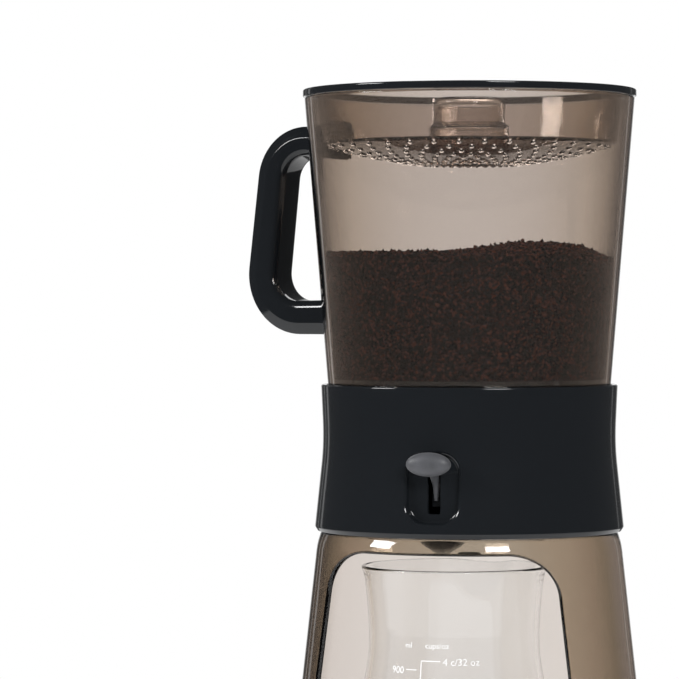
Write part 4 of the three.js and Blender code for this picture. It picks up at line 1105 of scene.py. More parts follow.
class BREWER_OT_drip_cover(Operator):
    """Drip cover under the collar, with its nozzle, the lever's bowl and the pin's ears"""

    bl_idname = "brewer.drip_cover"
    bl_label = "Drip Cover"

    def execute(self, context):
        sizes = context.scene.brewer_drip_cover
        gloss = finish(polished_black, context)
        radius = high("drip_cover")[0]
        nozzle_z = low("drip_cover")[2]
        under_z = high("stand_body")[2] + SEAT_GAP
        top_z = under_z + sizes.plate
        bore, wall, funnel = sizes.bore, sizes.wall, sizes.funnel
        throat, plate_edge = 0.005, 0.0004
        plate = turned(filleted([
            (bore, nozzle_z, 0.0005),
            (bore + wall, nozzle_z, 0.0006),
            (bore + 1.5 * wall, under_z - throat, 0.003),
            (funnel + wall, under_z, 0.002),
            (radius, under_z, plate_edge),
            (radius, top_z, plate_edge),
            (funnel, top_z, 0.001),
            (bore, top_z - throat, 0.001),
        ]))

        def bowl(shrink, high_z):
            across, drop = sizes.bowl_radius - shrink, sizes.bowl_depth - shrink
            quarter = spread(0.0, math.pi / 2, 12)
            curve = [(across * math.sin(t), under_z - drop * math.cos(t)) for t in quarter]
            return moved(turned([*curve, (across, high_z), (0.0, high_z)], 72), (0.0, sizes.bowl_y, 0.0))

        cover = add_piece("drip_cover_shell", plate, gloss, "stand", ["drip_cover"])
        # The bowl's outside ends within the plate, and its hollow is cut right through it
        within_z, past_z = top_z - 0.0002, top_z + 0.004
        combine(cover, loose_object("bowl_outside", bowl(0.0, within_z)), "UNION")
        combine(cover, loose_object("bowl_inside", bowl(sizes.bowl_wall, past_z)), "DIFFERENCE")
        cover.data.shade_smooth()
        cover.data.set_sharp_from_angle(angle=math.radians(35))
        front_y, back_y = sizes.pin_y - sizes.ear_half, sizes.pin_y + sizes.ear_half
        ear_sunk = 0.001
        ear_foot, ear_top = top_z - ear_sunk, sizes.pin_z + sizes.ear_half
        ear = filleted([
            (front_y, ear_foot),
            (back_y, ear_foot),
            (back_y, ear_top, sizes.ear_corner),
            (front_y, ear_top, sizes.ear_corner),
        ], 6)
        for name, side in (("left", -1), ("right", 1)):
            near, far = side * sizes.ear_gap, side * (sizes.ear_gap + sizes.ear_thickness)
            add_piece(f"pin_ear_{name}", slab(ear, near, far), gloss, "stand")
        return {"FINISHED"}


def knob_part(sizes, back_y, middle_z):
    """A soft lozenge of a knob, turned about its own axis and flattened."""
    rings = []
    for t in spread(0.0, math.pi, 28):
        bulge = math.sin(t) ** 0.86
        half_width, half_height = sizes.knob_width / 2 * bulge, sizes.knob_height / 2 * bulge
        y = back_y - sizes.knob_thickness * ((1 - math.cos(t)) / 2) ** 0.9
        rings.append([
            (half_width * math.cos(angle), y, middle_z + half_height * math.sin(angle))
            for angle in full_turn(96)
        ])
    return tube(rings)


def neck_part(sizes, foot, top):
    """The lever's neck: a rounded finger, upright in the slot, then forward and wider up to the knob."""
    rings = []
    for rise in spread(0.0, 1.0, 24):
        forward = max(0.0, (rise - sizes.neck_upright) / (1 - sizes.neck_upright)) ** 1.4
        y = foot[0] + (top[0] - foot[0]) * forward
        z = foot[1] + (top[1] - foot[1]) * rise
        half = sizes.neck_foot_half + (sizes.neck_top_half - sizes.neck_foot_half) * rise ** 0.8
        deep = sizes.neck_foot_deep + (sizes.neck_top_deep - sizes.neck_foot_deep) * rise
        ring = []
        for angle in full_turn(32):
            across, along = (math.copysign(abs(v) ** 0.75, v) for v in (math.cos(angle), math.sin(angle)))
            ring.append((half * across, y + deep * along, z))
        rings.append(ring)
    return lofted(rings)


class BREWER_OT_switch(Operator):
    """Drain switch: the lever, its neck and its soft knob"""

    bl_idname = "brewer.switch"
    bl_label = "Drain Switch"

    def execute(self, context):
        sizes = context.scene.brewer_switch
        grip = finish(soft_grey, context)
        gloss = finish(polished_black, context)
        back_y = high("switch_knob")[1]
        middle_z = (low("switch_knob")[2] + high("switch_knob")[2]) / 2
        knob = knob_part(sizes, back_y, middle_z)
        add_piece("drain_knob", knob, grip, "switch", ["switch_knob"], sharp=80)
        blade_y = sizes.blade_front
        neck_y = blade_y - sizes.neck_foot_deep
        foot_z, top_z = sizes.neck_foot_z, high("switch_lever")[2]
        lever = bpy.data.objects.new("drain_lever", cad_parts["switch_lever"].data.copy())
        context.scene.collection.objects.link(lever)
        coat(lever.data, gloss)
        # The lever's own neck, in front of the blade, gives way to the rounded one
        front_y, under_z, over_z, aside = -0.09, 0.15, 0.22, 0.02
        outline = [(front_y, under_z), (front_y, over_z), (blade_y, over_z), (blade_y, under_z)]
        combine(lever, loose_object("lever_front", slab(outline, -aside, aside)), "DIFFERENCE")
        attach(lever, "switch")
        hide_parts("switch_lever")
        # Neck and web end a little inside the knob and the blade
        overlap, web_overlap = 0.0006, 0.0008
        knob_z = middle_z - 0.001
        web_foot_z, knee_z = foot_z + 0.0002, foot_z + 0.0068
        sharp_edge, soft_edge, knee_edge = 0.0003, 0.0006, 0.0020
        neck = neck_part(sizes, (neck_y, foot_z), (back_y + overlap, knob_z))
        web = filleted([
            (blade_y + overlap, web_foot_z, sharp_edge),
            (neck_y, web_foot_z, sharp_edge),
            (neck_y, knee_z, knee_edge),
            (back_y + web_overlap, knob_z, soft_edge),
            (back_y + web_overlap, top_z, soft_edge),
            (blade_y + overlap, top_z, sharp_edge),
        ])
        add_piece("lever_neck", neck, grip, "switch", sharp=60)
        half = sizes.neck_foot_half
        add_piece("lever_web", slab(web, -half, half), gloss, "switch")
        return {"FINISHED"}


def container_radius(sizes):
    """The container's outer radius as a function of height."""
    foot_z, top_z = low("brew_container")[2], high("brew_container")[2]
    return cone_radius(sizes.foot_radius, sizes.top_radius, foot_z, top_z - foot_z)


class BREWER_OT_container(Operator):
    """Smoke brew container with the ledge for its floor"""

    bl_idname = "brewer.container"
    bl_label = "Brew Container"

    def execute(self, context):
        sizes = context.scene.brewer_container
        smoke = finish(tinted_smoke, context)
        radius_at = container_radius(sizes)
        foot_z, top_z = low("brew_container")[2], high("brew_container")[2]
        ledge_top = high("filter_well")[2] - sizes.floor - SEAT_GAP
        ledge_low = ledge_top - sizes.ledge
        edge = sizes.rim_edge

        def inner(z):
            return radius_at(z) - sizes.wall

        profile = filleted([
            (inner(foot_z), foot_z, edge),
            (radius_at(foot_z), foot_z, edge * 1.5),
            (radius_at(top_z), top_z, edge),
            (inner(top_z), top_z, edge),
            (inner(ledge_top), ledge_top, edge / 2),
            (inner(ledge_low) - sizes.ledge, ledge_top, edge / 2),
            (inner(ledge_low) - sizes.ledge, ledge_low, edge / 2),
            (inner(ledge_low), ledge_low, edge / 2),
        ])
        wall = turned(profile, FINE_ROUND_STEPS)
        add_piece("smoke_container_wall", wall, smoke, "container", ["brew_container"])
        coat(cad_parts["filter_well"].data, smoke)
        return {"FINISHED"}


def handle_section(sizes, thickness, flare):
    """The section as (depth from the outer face, sideways) points, for one side then the other."""
    half = sizes.width / 2 + sizes.flare_width * flare
    front = -sizes.flare_height * flare
    back = thickness + sizes.flare_height * flare
    side = filleted([
        (front, 0.0),
        (front, half - sizes.bevel_side, sizes.edge),
        (front + sizes.bevel_depth, half, sizes.edge * 1.6),
        (back, half, sizes.grip),
        (back, 0.0),
    ], 6)
    return side + [(depth, -across) for depth, across in side[-2:0:-1]]


def handle_part(sizes, container):
    """The handle's loop, lofted from root to root, with ends that follow the container's wall."""
    radius_at = container_radius(container)
    corners = [
        Vector((radius_at(sizes.top), sizes.top)),
        Vector((sizes.top_reach, sizes.top)),
        Vector((sizes.bottom_reach, sizes.bottom)),
        Vector((radius_at(sizes.bottom), sizes.bottom)),
    ]
    flare_run = [Vector((run, 0.0)) for run in spread(0.0, sizes.flare_length, 10)]
    upper, lower = ([root + run for run in flare_run] for root in (corners[0], corners[3]))
    top_arc = corner_arc(*corners[:3], sizes.top_bend, 28)
    bottom_arc = corner_arc(*corners[1:], sizes.bottom_bend, 28)
    spine = [top_arc[-1].lerp(bottom_arc[0], along) for along in spread(0.0, 1.0, 6)[1:-1]]
    line = [*upper, *top_arc, *spine, *bottom_arc, *lower[::-1]]
    along = np.concatenate([[0.0], np.cumsum([(b - a).length for a, b in zip(line, line[1:])])])
    outward = Vector((-math.cos(sizes.turn), math.sin(sizes.turn), 0.0))
    across = Vector((-math.sin(sizes.turn), -math.cos(sizes.turn), 0.0))
    # Rings near a root stay at least this far apart along the wall
    ring_gap = 0.0001
    rings = []
    last = len(line) - 1
    for i, point in enumerate(line):
        travel = (line[min(i + 1, last)] - line[max(i - 1, 0)]).normalized()
        inward = Vector((travel.y, -travel.x))
        growth = along[i] / along[-1]
        thickness = sizes.top_thickness + (sizes.bottom_thickness - sizes.top_thickness) * growth
        clear = point.x - radius_at(point.y)
        flare = min(1.0, max(0.0, 1.0 - clear / sizes.flare_length)) ** 2.4
        from_root = min(i, last - i)
        ring = []
        for depth, side in handle_section(sizes, thickness, flare):
            place = point + inward * depth
            seat = math.sqrt((radius_at(place.y) + SEAT_GAP) ** 2 - side ** 2)
            reach = max(place.x, seat + ring_gap * from_root) if from_root else seat
            at = outward * reach + across * side
            ring.append((at.x, at.y, place.y))
        rings.append(ring)
    return lofted(rings)


class BREWER_OT_handle(Operator):
    """Bevelled black loop handle"""

    bl_idname = "brewer.handle"
    bl_label = "Handle"

    def execute(self, context):
        gloss = finish(polished_black, context)
        part = handle_part(context.scene.brewer_handle, context.scene.brewer_container)
        add_piece("loop_handle", part, gloss, "container", ["handle"], sharp=50)
        return {"FINISHED"}


class BowlShape:
    """Heights of the lid's bowl, and where its rings of holes lie."""

    ring_radii = (0.0658, 0.0588, 0.0518, 0.0452, 0.0388, 0.0329, 0.0280, 0.0240)

    def __init__(self, sizes):
        self.sizes = sizes
        self.foot_z = high("brew_container")[2] + SEAT_GAP - sizes.wall_height
        self.low_z = self.foot_z - sizes.bowl_depth

    def under(self, radius):
        flat = self.sizes.flat_radius
        grown = (radius ** 2 - flat ** 2) / (self.sizes.wall_foot ** 2 - flat ** 2)
        return self.low_z + self.sizes.bowl_depth * max(0.0, grown)

    def over(self, radius):
        return self.under(radius) + self.sizes.wall

    def borders(self):
        rings = self.ring_radii
        between = [(a + b) / 2 for a, b in zip(rings, rings[1:])]
        outer_border, inner_room = 0.0672, 0.0014
        return [outer_border, *between, rings[-1] - inner_room]


def hole_cell(shape, outer, inner, ring_radius, angle, pitch):
    """One shower hole with the trapezium of bowl round it, upper and lower skins."""
    sizes = shape.sizes
    quarters = (-0.5, -0.25, 0.0, 0.25, 0.5)
    border = [(inner, angle + pitch * q) for q in quarters]
    border += [(inner + (outer - inner) * q, angle + pitch / 2) for q in (0.25, 0.5, 0.75)]
    border += [(outer, angle + pitch * q) for q in quarters[::-1]]
    border += [(inner + (outer - inner) * q, angle - pitch / 2) for q in (0.75, 0.5, 0.25)]
    centre = Vector(on_circle(ring_radius, angle))
    radial = Vector(on_circle(1.0, angle))
    around = Vector((-radial.y, radial.x))

    def circle(radius, level, drop):
        points = []
        for k in range(len(border)):
            turn = math.radians(225) + math.tau * k / len(border)
            at = centre + around * radius * math.cos(turn) + radial * radius * math.sin(turn)
            points.append((at.x, at.y, level(at.length) + drop))
        return points

    def edge(level):
        return [(*on_circle(r, a), level(r)) for r, a in border]

    hole, rim = sizes.hole_radius, sizes.hole_edge
    return tube([
        edge(shape.over),
        circle(hole + rim, shape.over, 0.0),
        circle(hole, shape.over, -rim),
        circle(hole, shape.under, rim / 2 - sizes.nozzle),
        circle(hole + rim, shape.under, -sizes.nozzle),
        circle(hole + 2.4 * rim, shape.under, -0.6 * sizes.nozzle),
        circle(hole + 3.6 * rim, shape.under, 0.0),
        edge(shape.under),
    ])


def lid_part(sizes):
    """The lid: dish wall, eight rings of holes, and the stepped hollow dome."""
    shape = BowlShape(sizes)
    rim_top = high("brew_container")[2] + SEAT_GAP + sizes.rim_thickness
    wall, edge, bend = sizes.wall, sizes.rim_edge, sizes.dome_bend
    borders = shape.borders()
    first, last = borders[0], borders[-1]
    dish = filleted([
        (first, shape.over(first)),
        (sizes.wall_foot - wall, shape.over(sizes.wall_foot - wall), 0.0003),
        (sizes.wall_top - wall, rim_top, edge / 2),
        (sizes.wall_top, rim_top, edge / 2),
        (sizes.wall_foot, shape.foot_z, 0.0012),
        (first, shape.under(first)),
    ], 5)
    dome_top = shape.low_z + sizes.dome_height
    step_z = shape.low_z + sizes.dome_step
    inside = sizes.dome_radius - wall
    dome = filleted([
        (last, shape.over(last)),
        (sizes.dome_foot, shape.over(sizes.dome_foot), bend),
        (sizes.dome_foot, step_z, bend),
        (sizes.dome_radius, step_z + wall, bend),
        (sizes.dome_radius, dome_top, sizes.dome_edge),
        (0.0, dome_top),
        (0.0, dome_top - wall),
        (inside, dome_top - wall, sizes.dome_edge - wall / 2),
        (inside, step_z + wall / 2, bend),
        (sizes.dome_foot - wall, step_z - wall / 2, bend),
        (sizes.dome_foot - wall, shape.low_z, bend),
        (last, shape.under(last)),
    ], 6)
    steps = sizes.holes * 4
    parts = [turned(profile, steps, closed=False) for profile in (dish, dome)]
    pitch = math.tau / sizes.holes
    for ring, radius in enumerate(shape.ring_radii):
        for i in range(sizes.holes):
            angle = pitch * (i + ring % 2 / 2)
            parts.append(hole_cell(shape, borders[ring], borders[ring + 1], radius, angle, pitch))
    return joined(*parts)


class BREWER_OT_shower_lid(Operator):
    """Perforated shower lid"""

    bl_idname = "brewer.shower_lid"
    bl_label = "Shower Lid"

    def execute(self, context):
        sizes = context.scene.brewer_lid
        smoke = finish(tinted_smoke, context)
        add_piece("perforated_lid", lid_part(sizes), smoke, "lid", ["shower_lid"], sharp=35)
        seat_z = high("brew_container")[2] + SEAT_GAP
        inner = sizes.wall_top + SEAT_GAP / 2
        edge = sizes.rim_edge
        ring = filleted([
            (inner, seat_z, edge / 2),
            (sizes.rim_radius, seat_z, edge / 2),
            (sizes.rim_radius, seat_z + sizes.rim_thickness, edge),
            (inner, seat_z + sizes.rim_thickness, edge / 2),
        ], 5)
        gloss = finish(polished_black, context)
        add_piece("lid_rim", turned(ring, FINE_ROUND_STEPS), gloss, "lid")
        return {"FINISHED"}


def coffee_top(sizes, inner_radius, x, y):
    """Height of the heap's top above the floor, before its lumps."""
    crest = math.exp(-(((x - sizes.crest_offset) / sizes.crest_spread) ** 2))
    edge = max(0.0, x / inner_radius - sizes.edge_share) / (1 - sizes.edge_share)
    sway = math.cos(math.pi * y / inner_radius)
    return sizes.low_rise + sizes.crest_rise * crest * (1 + sway) / 2 - sizes.edge_fall * edge


def coffee_part(sizes, container):
    """The heap: a lumpy top, a side that follows the wall, and loose grains on top."""
    radius_at = container_radius(container)
    floor_z = low("coffee_grounds")[2]
    inner_radius = radius_at(floor_z) - container.wall
    lump_scale, swell_scale = 330.0, 60.0
    dimple_depth, dimples_round, dimples_up = 0.00035, 22, 320
    side_rows = 60
    # The rings of the top as shares of its radius, closer together near the wall
    top_rings = (
        0.985, 0.965, 0.94, 0.91, 0.88, 0.84, 0.8, 0.75, 0.7, 0.64, 0.58, 0.5, 0.42, 0.33, 0.24, 0.15, 0.07,
    )

    def wall_radius(z):
        return radius_at(z) - container.wall - SEAT_GAP

    def top_z(x, y):
        lumps = noise.fractal(Vector((x, y, 0.0)) * lump_scale, 0.9, 2.1, 4)
        swell = noise.fractal(Vector((x, y, 0.3)) * swell_scale, 1.0, 2.0, 2)
        return floor_z + coffee_top(sizes, inner_radius, x, y) + sizes.lumps * (0.55 * lumps + 0.5 * swell)

    angles = full_turn(360)
    guess = wall_radius(floor_z + sizes.low_rise)
    rim = [top_z(*on_circle(guess, angle)) for angle in angles]
    rings = []
    for row in range(side_rows + 1):
        ring = []
        for angle, z_top in zip(angles, rim):
            z = floor_z + (z_top - floor_z) * row / side_rows
            dimple = noise.noise(Vector((*on_circle(dimples_round, angle), z * dimples_up)))
            radius = wall_radius(z) - dimple_depth * max(0.0, dimple)
            ring.append((*on_circle(radius, angle), z))
        rings.append(ring)
    for across in top_rings:
        ring = []
        for angle, z_top in zip(angles, rim):
            x, y = on_circle(wall_radius(z_top) * across, angle)
            ring.append((x, y, top_z(x, y)))
        rings.append(ring)
    return joined(lofted(rings), grains_part(sizes, top_z, wall_radius))


def grains_part(sizes, top_z, wall_radius):
    """Loose grains: small uneven chips, half sunk in the top, more of them near the wall."""
    chance = np.random.default_rng(sizes.seed)
    corners = np.array([(1, 0, 0), (-1, 0, 0), (0, 1, 0), (0, -1, 0), (0, 0, 1), (0, 0, -1)], float)
    chip_faces = [[0, 2, 4], [2, 1, 4], [1, 3, 4], [3, 0, 4], [2, 0, 5], [1, 2, 5], [3, 1, 5], [0, 3, 5]]
    vertices = []
    faces = []
    for _ in range(sizes.grains):
        angle = chance.uniform(0.0, math.tau)
        out = chance.uniform(0.0, 1.0) ** 0.25
        size = sizes.grain * (0.3 + 0.7 * chance.random() ** 1.5)
        shape = corners * size * chance.uniform(0.55, 1.0, (6, 3))
        turn = Matrix.Rotation(chance.uniform(0.0, math.tau), 3, Vector(chance.normal(size=3)))
        limit = wall_radius(top_z(0.0, 0.0)) - size
        x, y = on_circle(limit * out, angle)
        z = top_z(x, y) + size * chance.uniform(-0.1, 0.7)
        start = len(vertices)
        vertices += [tuple(turn @ Vector(point) + Vector((x, y, z))) for point in shape]
        faces += [[start + i for i in face] for face in chip_faces]
    return vertices, faces


class BREWER_OT_ground_coffee(Operator):
    """Heap of ground coffee in the container"""

    bl_idname = "brewer.ground_coffee"
    bl_label = "Ground Coffee"

    def execute(self, context):
        coffee = finish(coarse_coffee, context)
        part = coffee_part(context.scene.brewer_coffee, context.scene.brewer_container)
        add_piece("coffee_heap", part, coffee, "container", ["coffee_grounds"], sharp=60)
        return {"FINISHED"}


class CarafeShape:
    """The carafe's radius at each height, and its drawn spout."""

    def __init__(self, sizes):
        self.sizes = sizes
        self.foot_z = low("carafe")[2]
        self.height = high("carafe")[2] - self.foot_z
        self.belly = self.height * sizes.belly_share
        self.waist = self.height * sizes.waist_share

    def radius(self, rise):
        sizes = self.sizes
        if rise < self.belly:
            below = 1 - rise / self.belly
            return sizes.belly_radius - (sizes.belly_radius - sizes.base_radius) * below ** 3
        if rise < self.waist:
            above = ((rise - self.belly) / (self.waist - self.belly)) ** 0.86
            drawn = (1 - math.cos(math.pi * above)) / 2
            return sizes.belly_radius - (sizes.belly_radius - sizes.waist_radius) * drawn
        above = (rise - self.waist) / (self.height - self.waist)
        return sizes.waist_radius + (sizes.rim_radius - sizes.waist_radius) * above ** 1.6

    def drawn(self, point):
        """A point of the carafe with the spout's pull applied."""
        sizes = self.sizes
        x, y, z = point
        rise = max(0.0, (z - self.foot_z - self.height + sizes.spout_height) / sizes.spout_height)
        off = abs(math.atan2(y, x) - sizes.spout_angle) / sizes.spout_spread
        if off >= 1 or rise <= 0:
            return point
        pull = rise ** 2 * math.cos(math.pi * off / 2) ** 2
        radius = math.hypot(x, y)
        grown = (radius + sizes.spout_reach * pull) / radius
        return x * grown, y * grown, z - sizes.spout_dip * pull


def carafe_part(shape):
    """The carafe's glass: outer and inner skins, a beaded rim and the spout."""
    sizes = shape.sizes
    wall, base = sizes.wall, sizes.base_radius
    hollow, flare_run = 0.0012, 0.008
    rises = [
        *spread(hollow, shape.belly, 10),
        *spread(shape.belly, shape.waist, 26)[1:],
        *spread(shape.waist, shape.height - wall / 2, 12)[1:],
    ]

    def flared(rise):
        close = max(0.0, 1 - (shape.height - rise) / flare_run)
        return shape.radius(rise) + sizes.rim_flare * close ** 2

    outside = [(flared(rise), shape.foot_z + rise) for rise in rises]
    inner_rises = [rise for rise in rises if rise > sizes.floor + wall]
    inside = [(flared(rise) - wall, shape.foot_z + rise) for rise in inner_rises][::-1]
    top = Vector(outside[-1])
    bead = [
        (top.x - wall / 2 + wall / 2 * math.cos(t), top.y + wall / 2 * math.sin(t))
        for t in spread(0.0, math.pi, 8)[1:-1]
    ]
    floor_z = shape.foot_z + sizes.floor
    # The foot is hollow in the middle and stands on a ring near its edge
    foot = [
        (0.0, shape.foot_z + hollow),
        (base * 0.82, shape.foot_z + hollow),
        (base * 0.9, shape.foot_z),
        (base - 0.0015, shape.foot_z + 0.0001),
    ]
    floor = [(base - 2.4 * wall, floor_z + 0.0006), (base - 4 * wall, floor_z), (0.0, floor_z)]
    vertices, faces = turned([*foot, *outside, *bead, *inside, *floor], 180)
    return [shape.drawn(point) for point in vertices], faces


def wrapped(shape, points, angle, z):
    """Flat points (across, up, out) laid round the carafe at an angle from its front."""
    result = []
    for across, up, out in points:
        rise = z + up - shape.foot_z
        radius = shape.radius(rise) + PRINT_LIFT + out
        turn = angle + across / radius
        result.append((radius * math.sin(turn), -radius * math.cos(turn), z + up))
    return result


def bar_mark(shape, angle, z, width, height):
    """A printed line as a thin closed strip."""
    # A bar bends round the glass in pieces of about this length
    piece = 0.002
    steps = max(1, round(width / piece))
    corners = ((0, -PRINT_HALF), (height, -PRINT_HALF), (height, PRINT_HALF), (0, PRINT_HALF))
    rings = []
    for across in spread(-width / 2, width / 2, steps):
        section = [(across, up, out) for up, out in corners]
        rings.append(wrapped(shape, section, angle, z))
    return lofted(rings)


def text_mark(shape, words, angle, z, height, align):
    """Printed characters as thin closed solids."""
    curve = bpy.data.curves.new("mark", "FONT")
    curve.body = words
    curve.size = height * 1.35
    curve.align_x = align
    curve.extrude = PRINT_HALF
    curve.resolution_u = 3
    holder = bpy.data.objects.new("mark", curve)
    bpy.context.scene.collection.objects.link(holder)
    mesh = bpy.data.meshes.new_from_object(holder.evaluated_get(bpy.context.evaluated_depsgraph_get()))
    points = [tuple(vertex.co) for vertex in mesh.vertices]
    faces = [list(polygon.vertices) for polygon in mesh.polygons]
    bpy.data.objects.remove(holder)
    bpy.data.meshes.remove(mesh)
    return wrapped(shape, points, angle, z), faces


def marks_part(shape):
    """Graduation: a line with ticks and plain numbers, and the units above them."""
    sizes = shape.sizes
    line, text = sizes.mark_line, sizes.mark_text
    top_z, low_z, unit_z = 0.1095, 0.022, 0.1155
    stem_angle = -0.135
    long_tick, short_tick, label_gap = 0.009, 0.0055, 0.0012
    left_drop, left_reach, left_middle = 0.0042, 0.0075, 0.0027
    stem_foot, stem_bars, stem_gap = 0.010, 40, 0.00001
    parts = [
        text_mark(shape, unit, angle, unit_z, text * 0.8, "CENTER")
        for unit, angle in (("ml", -0.30), ("cups/oz", 0.05))
    ]
    for i, z in enumerate(spread(top_z, low_z, 8)[:-1]):
        even = i % 2 == 0
        radius = shape.radius(z - shape.foot_z)
        width = long_tick if even else short_tick
        parts.append(bar_mark(shape, stem_angle + width / 2 / radius, z, width, line))
        if even:
            cups = 4 - i // 2
            label, angle = f"{cups} c/{cups * 8} oz", stem_angle + (width + label_gap) / radius
            parts.append(text_mark(shape, label, angle, z - text / 2, text, "LEFT"))
        left_z = z - left_drop
        left_angle = stem_angle - left_reach / radius
        parts.append(bar_mark(shape, left_angle + left_middle / radius, left_z, short_tick, line))
        label, angle = str(900 - 100 * i), left_angle - label_gap / radius
        parts.append(text_mark(shape, label, angle, left_z - text / 2, text, "RIGHT"))
    height = (top_z - low_z - stem_foot) / stem_bars - stem_gap
    for z in spread(low_z + stem_foot, top_z, stem_bars)[:-1]:
        parts.append(bar_mark(shape, stem_angle, z, line, height))
    return joined(*parts)


class BREWER_OT_carafe(Operator):
    """Glass carafe and its graduation marks"""

    bl_idname = "brewer.carafe"
    bl_label = "Carafe"

    def execute(self, context):
        sizes = context.scene.brewer_carafe
        shape = CarafeShape(sizes)
        offset = (sizes.x, sizes.y, 0.0)
        glass = finish(blown_glass, context)
        glass_part = moved(carafe_part(shape), offset)
        add_piece("glass_carafe", glass_part, glass, "carafe", ["carafe"])
        marks = moved(marks_part(shape), offset)
        add_piece("graduation_marks", marks, finish(fired_white, context), "carafe", sharp=50)
        return {"FINISHED"}


class BREWER_OT_inner_parts(Operator):
    """Finishes of the deck, rod, valve, filter, pin, screws and pad"""

    bl_idname = "brewer.inner_parts"
    bl_label = "Inner Parts"

    def execute(self, context):
        screws = [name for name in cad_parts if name.startswith("cover_screw")]
        nodes_of = {
            satin_black: ("collar_deck", "push_rod", "valve_stem", "valve_cage", "filter_frame"),
            grey_rubber: ("valve_seal", "filter_gasket", "base_pad"),
            drawn_steel: ("valve_spring", "lever_pin", *screws),
            woven_wire: ("filter_mesh",),
        }
        for make, names in nodes_of.items():
            for name in names:
                coat(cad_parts[name].data, finish(make, context))
        return {"FINISHED"}


def floor_material(sizes):
    """Pale floor that keeps the shadow near the object and fades to white further out."""
    material, shader, work = new_material("studio_floor", (0.82, 0.82, 0.82), 0.6)
    place = work.add("ShaderNodeVectorMath", operation="LENGTH")
    work.join(work.object_place(), place.inputs[0])
    fade = work.add("ShaderNodeMapRange", interpolation_type="SMOOTHSTEP")
    set_inputs(fade, {"From Min": sizes.floor_fade, "From Max": sizes.floor_radius * 0.97})
    work.join(place.outputs["Value"], fade.inputs["Value"])
    white = work.add("ShaderNodeEmission", {"Strength": 1.0})
    mix = work.add("ShaderNodeMixShader")
    for number, output in enumerate((fade.outputs["Result"], shader.outputs[0], white.outputs[0])):
        work.join(output, mix.inputs[number])
    work.join(mix.outputs[0], material.node_tree.nodes["Material Output"].inputs["Surface"])
    return material


def studio_world(sizes):
    """White backdrop for the camera, glass and gloss, a dark room beside it for gloss, and a soft fill."""
    world = bpy.data.worlds.new("studio")
    world.use_nodes = True
    work = NodeWork(world.node_tree)
    background = world.node_tree.nodes["Background"]
    backdrop = work.add("ShaderNodeVectorMath", operation="DOT_PRODUCT")
    backdrop.inputs[1].default_value = (-math.sin(sizes.camera_angle), math.cos(sizes.camera_angle), 0.0)
    work.join(work.add("ShaderNodeTexCoord").outputs["Generated"], backdrop.inputs[0])
    gloss = work.remap(backdrop.outputs["Value"], sizes.backdrop_edge, 1.0, sizes.room_level, 1.0)
    path = work.add("ShaderNodeLightPath")
    soft = work.add("ShaderNodeMix", {"A": sizes.fill_level}, data_type="FLOAT")
    work.join(path.outputs["Is Glossy Ray"], soft.inputs["Factor"])
    work.join(gloss, soft.inputs["B"])
    whole = work.add("ShaderNodeMix", {"B": 1.0}, data_type="FLOAT")
    seen = work.maths("MAXIMUM", path.outputs["Is Camera Ray"], path.outputs["Is Transmission Ray"])
    work.join(seen, whole.inputs["Factor"])
    work.join(soft.outputs["Result"], whole.inputs["A"])
    work.join(whole.outputs["Result"], background.inputs["Strength"])
    background.inputs["Color"].default_value = (1.0, 1.0, 1.0, 1.0)
    return world


def add_lamp(name, place, target, size, power):
    """A soft rectangular lamp that faces a point."""
    lamp = bpy.data.lights.new(name, "AREA")
    lamp.shape = "RECTANGLE"
    lamp.size, lamp.size_y = size
    lamp.energy = power
    holder = bpy.data.objects.new(name, lamp)
    holder.location = place
    holder.rotation_euler = (Vector(target) - Vector(place)).to_track_quat("-Z", "Y").to_euler()
    bpy.context.scene.collection.objects.link(holder)
    return holder


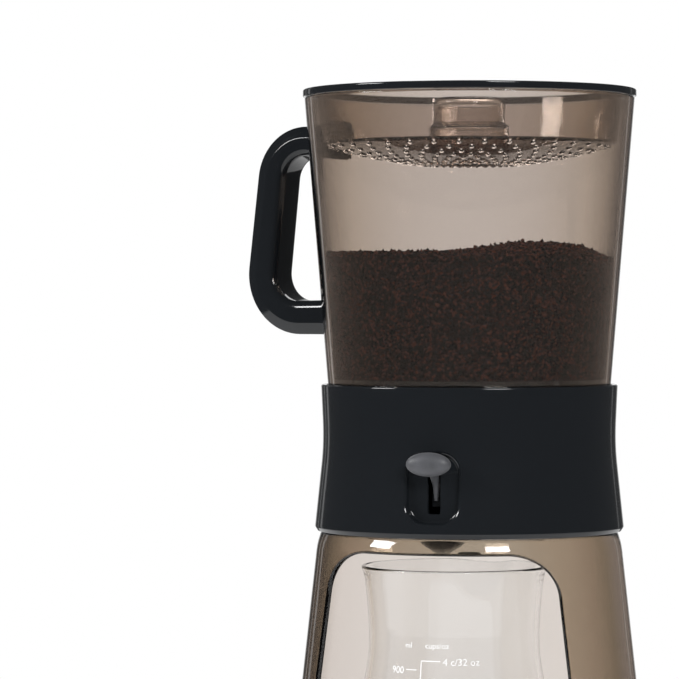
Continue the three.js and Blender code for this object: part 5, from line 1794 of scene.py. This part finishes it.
class BREWER_OT_stage(Operator):
    """Floor, world, lamps and camera"""

    bl_idname = "brewer.stage"
    bl_label = "Stage"

    def execute(self, context):
        sizes = context.scene.brewer_stage
        scene = context.scene
        rings = [0.0, *spread(0.05, sizes.floor_radius, 16)]
        floor = bpy.data.objects.new("floor", bpy.data.meshes.new("floor"))
        vertices, faces = turned([(radius, 0.0) for radius in rings], 96, closed=False)
        floor.data.from_pydata(vertices, [], faces)
        floor.data.materials.append(floor_material(sizes))
        scene.collection.objects.link(floor)
        scene.world = studio_world(sizes)
        facing = sizes.camera_angle
        # Each lamp as (name, degrees round from the camera, distance, height, size, power)
        lamps = (
            ("left_softbox", -73, 1.5, 0.88, (0.54, 0.34), 14.0),
            ("right_softbox", 22, 1.5, 0.88, (0.50, 0.34), 13.0),
            ("top_softbox", 170, 0.8, 1.5, (0.8, 0.8), 10.0),
            ("left_strip", -143, 1.5, 0.35, (0.10, 0.9), 0.14),
            ("left_edge_strip", -152, 1.5, 0.35, (0.05, 0.9), 0.05),
            ("right_strip", 146, 1.5, 0.35, (0.07, 0.9), 0.05),
        )
        for name, turn, distance, height, size, power in lamps:
            angle = facing + math.radians(turn)
            place = (distance * math.sin(angle), -distance * math.cos(angle), height)
            add_lamp(name, place, (0.0, 0.0, sizes.lamp_aim), size, power)
        camera = bpy.data.objects.new("camera", bpy.data.cameras.new("camera"))
        camera.data.lens = sizes.camera_lens
        camera.data.sensor_width = 36.0
        camera.data.clip_start = 0.05
        reach = sizes.camera_distance
        camera.location = (reach * math.sin(facing), -reach * math.cos(facing), sizes.camera_height)
        camera.rotation_euler = (math.pi / 2 - sizes.camera_pitch, 0.0, facing + sizes.camera_yaw)
        scene.collection.objects.link(camera)
        scene.camera = camera
        scene.view_settings.view_transform = "Standard"
        scene.cycles.max_bounces = 32
        scene.cycles.transmission_bounces = 32
        return {"FINISHED"}


OPERATORS = (
    BREWER_OT_stand,
    BREWER_OT_collar,
    BREWER_OT_drip_cover,
    BREWER_OT_switch,
    BREWER_OT_container,
    BREWER_OT_handle,
    BREWER_OT_shower_lid,
    BREWER_OT_ground_coffee,
    BREWER_OT_carafe,
    BREWER_OT_inner_parts,
    BREWER_OT_stage,
)

SIZES = {
    "brewer_stand": BrewerStandSizes,
    "brewer_collar": BrewerCollarSizes,
    "brewer_drip_cover": BrewerDripCoverSizes,
    "brewer_switch": BrewerSwitchSizes,
    "brewer_container": BrewerContainerSizes,
    "brewer_handle": BrewerHandleSizes,
    "brewer_lid": BrewerLidSizes,
    "brewer_coffee": BrewerCoffeeSizes,
    "brewer_carafe": BrewerCarafeSizes,
    "brewer_finishes": BrewerFinishes,
    "brewer_stage": BrewerStageSizes,
}


class BREWER_PT_pieces(Panel):
    """The coffee maker's pieces in the sidebar"""

    bl_label = "Cold Brew Coffee Maker"
    bl_space_type = "VIEW_3D"
    bl_region_type = "UI"
    bl_category = "Brewer"

    def draw(self, context):
        for operator in OPERATORS:
            self.layout.operator(operator.bl_idname)


CLASSES = (*SIZES.values(), *OPERATORS, BREWER_PT_pieces)


def register():
    for item in CLASSES:
        bpy.utils.register_class(item)
    for name, group in SIZES.items():
        setattr(bpy.types.Scene, name, PointerProperty(type=group))


def unregister():
    for name in SIZES:
        delattr(bpy.types.Scene, name)
    for item in reversed(CLASSES):
        bpy.utils.unregister_class(item)


def clear_defaults():
    """Deletes the cube, lamp and camera of a new file."""
    for name in ("Cube", "Light", "Camera"):
        if name in bpy.data.objects:
            bpy.data.objects.remove(bpy.data.objects[name])


def main():
    clear_defaults()
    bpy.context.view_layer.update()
    register()
    for operator in OPERATORS:
        group, name = operator.bl_idname.split(".")
        getattr(getattr(bpy.ops, group), name)()


if __name__ == "__main__":
    main()
